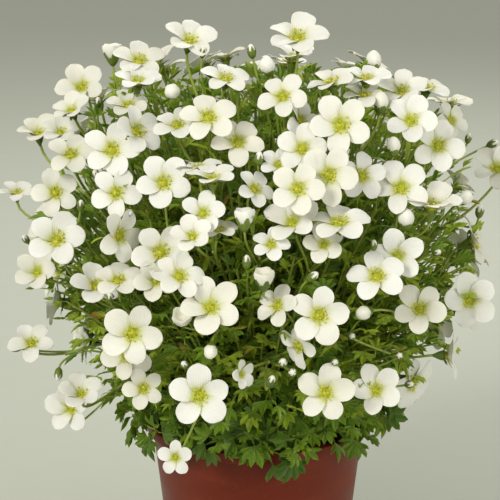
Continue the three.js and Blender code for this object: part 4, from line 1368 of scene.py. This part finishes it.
# The buds
# Closed buds are egg-shaped, with five white petals rolled over each other in a green calyx. The
# largest are opening, with the petals' tips apart, and the smallest are still nearly all green.
BUD = {"sides": 20, "green below": 6.6, "opening above": 8.6}


def bud_shape(name, profile, folds, twist):
    """The rolled petals of a bud, one unit being its greatest radius."""
    corners, faces = turned([Vector(at) for at in profile], BUD["sides"])
    rolled = []
    for x, y, z in corners:
        angle = math.atan2(y, x)
        fold = 1 + folds * math.cos(5 * angle + twist * z) * max(0, min(1, z + 0.4))
        rolled.append(Vector((x * fold, y * fold, z + 0.4 * folds * math.cos(5 * angle) * (z > 0.7))))
    made = mesh_of(name, rolled, faces, 50)
    put(made, "along", [0.35 + 0.3 * min(1, max(0, corner.z)) for corner in rolled])
    put(made, "across", [math.sin(2.5 * math.atan2(corner.y, corner.x)) for corner in rolled])
    return made


closed_bud = [
    (0, -0.6), (0.38, -0.5), (0.66, -0.2), (0.8, 0.15), (0.83, 0.52),
    (0.73, 0.93), (0.5, 1.26), (0.2, 1.44), (0, 1.47),
]
opening_bud = [
    (0, -0.6), (0.4, -0.5), (0.66, -0.2), (0.82, 0.15), (0.92, 0.55), (0.96, 0.9), (0.9, 1.12),
    (0.72, 1.08), (0.5, 0.8), (0.2, 0.6), (0, 0.58),
]
small_bud = [(0, -0.5), (0.3, -0.4), (0.5, -0.1), (0.56, 0.2), (0.48, 0.66), (0.27, 1.0), (0, 1.14)]
bud_shapes = [
    bud_shape("closed bud", closed_bud, 0.07, 2.2),
    bud_shape("opening bud", opening_bud, 0.1, 0.8),
    bud_shape("small bud", small_bud, 0.05, 2.0),
]
bud_cup = [
    (0, -1.05), (0.14, -1.05), (0.34, -0.86), (0.55, -0.56), (0.68, -0.2), (0.72, 0.02), (0.6, 0.08),
    (0, 0.08),
]
small_cup = [
    (0, -1.05), (0.16, -1.05), (0.4, -0.85), (0.58, -0.5), (0.66, -0.1), (0.62, 0.14), (0.5, 0.2),
    (0, 0.2),
]
bud_cup_shapes = [
    calyx_shape("closed bud calyx", [
        (0.64, -0.16, 0.3, 0.07), (0.75, 0.2, 0.25, 0.06), (0.77, 0.45, 0.14, 0.05), (0.74, 0.68)
    ], bud_cup),
    calyx_shape("opening bud calyx", [
        (0.66, -0.16, 0.32, 0.07), (0.84, 0.18, 0.26, 0.06), (0.93, 0.42, 0.14, 0.05), (0.97, 0.62)
    ], bud_cup),
    calyx_shape("small bud calyx", [
        (0.58, 0.0, 0.28, 0.07), (0.62, 0.35, 0.22, 0.06), (0.5, 0.65, 0.12, 0.05), (0.34, 0.9)
    ], small_cup),
]
bud_spots = []
for seed, bud in all_buds:
    width = 2 * bud["radius"]
    shape = 2 if width < BUD["green below"] else (1 if width > BUD["opening above"] else 0)
    tone = between(0.3, 1.0, draw(seed, 121))
    bud_spots.append((bud["place"], bud["turn"], bud["radius"], shape, tone))
rolled_petals = scattered("bud_petals", bud_shapes, bud_spots, petal_skin, seed=37, swell=0.04, sway=0.0)
bud_calyces = scattered("bud_calyces", bud_cup_shapes, bud_spots, cup_skin, seed=37, swell=0.04, sway=0.0)
for piece in (rolled_petals, bud_calyces):
    stands_for_sprays(piece)

# The table, the light and the camera
# The pot stands on a wide, plain, pale table, under a broad soft light from the left, a weaker one
# from the right and one from behind. The camera looks a little down, from a metre away.
TABLE = {"radius": 9000, "sides": 96, "thickness": 20}
TABLE_PALE = (0.5, 0.52, 0.45, 1)
CAMERA = {"away": 1000, "lens": 156.5, "sensor": 36, "across": -3.7, "up": -6.9}
ROOM_LIGHT = {"Color": (1.0, 0.99, 0.9, 1), "Strength": 0.52}

table_top, tree, surface = new_finish("pale matt table top")
table_grain = noise(tree, 60, 3, 0.5)
paler = tuple(min(1, channel * 1.04) for channel in TABLE_PALE[:3]) + (1,)
tree.links.new(blended(tree, table_grain, TABLE_PALE, paler), surface.inputs["Base Color"])
surface.inputs["Roughness"].default_value = 0.9
table_profile = [Vector((0, -TABLE["thickness"])), Vector((TABLE["radius"], -TABLE["thickness"]))]
table_profile += [Vector((TABLE["radius"], 0)), Vector((0, 0))]
table = shown("table", mesh_of("table", *turned(table_profile, TABLE["sides"])))
table.data.materials.append(table_top)


def soft_light(name, place, width, watts, colour):
    """A round, soft light that is aimed at the middle of the flowers."""
    lamp = bpy.data.lights.new(name, "AREA")
    lamp.shape = "DISK"
    lamp.size = width * MM
    lamp.energy = watts
    lamp.color = colour
    made = bpy.data.objects.new(name, lamp)
    made.location = Vector(place) * MM
    made.rotation_euler = (MIDDLE - Vector(place)).to_track_quat("-Z", "Y").to_euler()
    bpy.context.scene.collection.objects.link(made)


soft_light("window", (-760, -950, 1000), 600, 13.7, (1.0, 0.97, 0.92))
soft_light("fill", (900, -900, 500), 900, 5.5, (1.0, 0.98, 0.95))
soft_light("rim", (200, 900, 900), 500, 5, (1.0, 1.0, 0.95))
world = bpy.data.worlds.new("pale room")
world.use_nodes = True
for name, value in ROOM_LIGHT.items():
    world.node_tree.nodes["Background"].inputs[name].default_value = value
bpy.context.scene.world = world
bpy.context.scene.view_settings.view_transform = "Standard"

lens = bpy.data.cameras.new("camera")
lens.lens = CAMERA["lens"]
lens.sensor_width = CAMERA["sensor"]
camera = bpy.data.objects.new("camera", lens)
bpy.context.scene.collection.objects.link(camera)
aimed_at = MIDDLE + RIGHTWARD * CAMERA["across"] + VIEW_UP * CAMERA["up"]
camera.location = (aimed_at + TO_VIEWER * CAMERA["away"]) * MM
camera.rotation_euler = (-TO_VIEWER).to_track_quat("-Z", "Y").to_euler()
bpy.context.scene.camera = camera
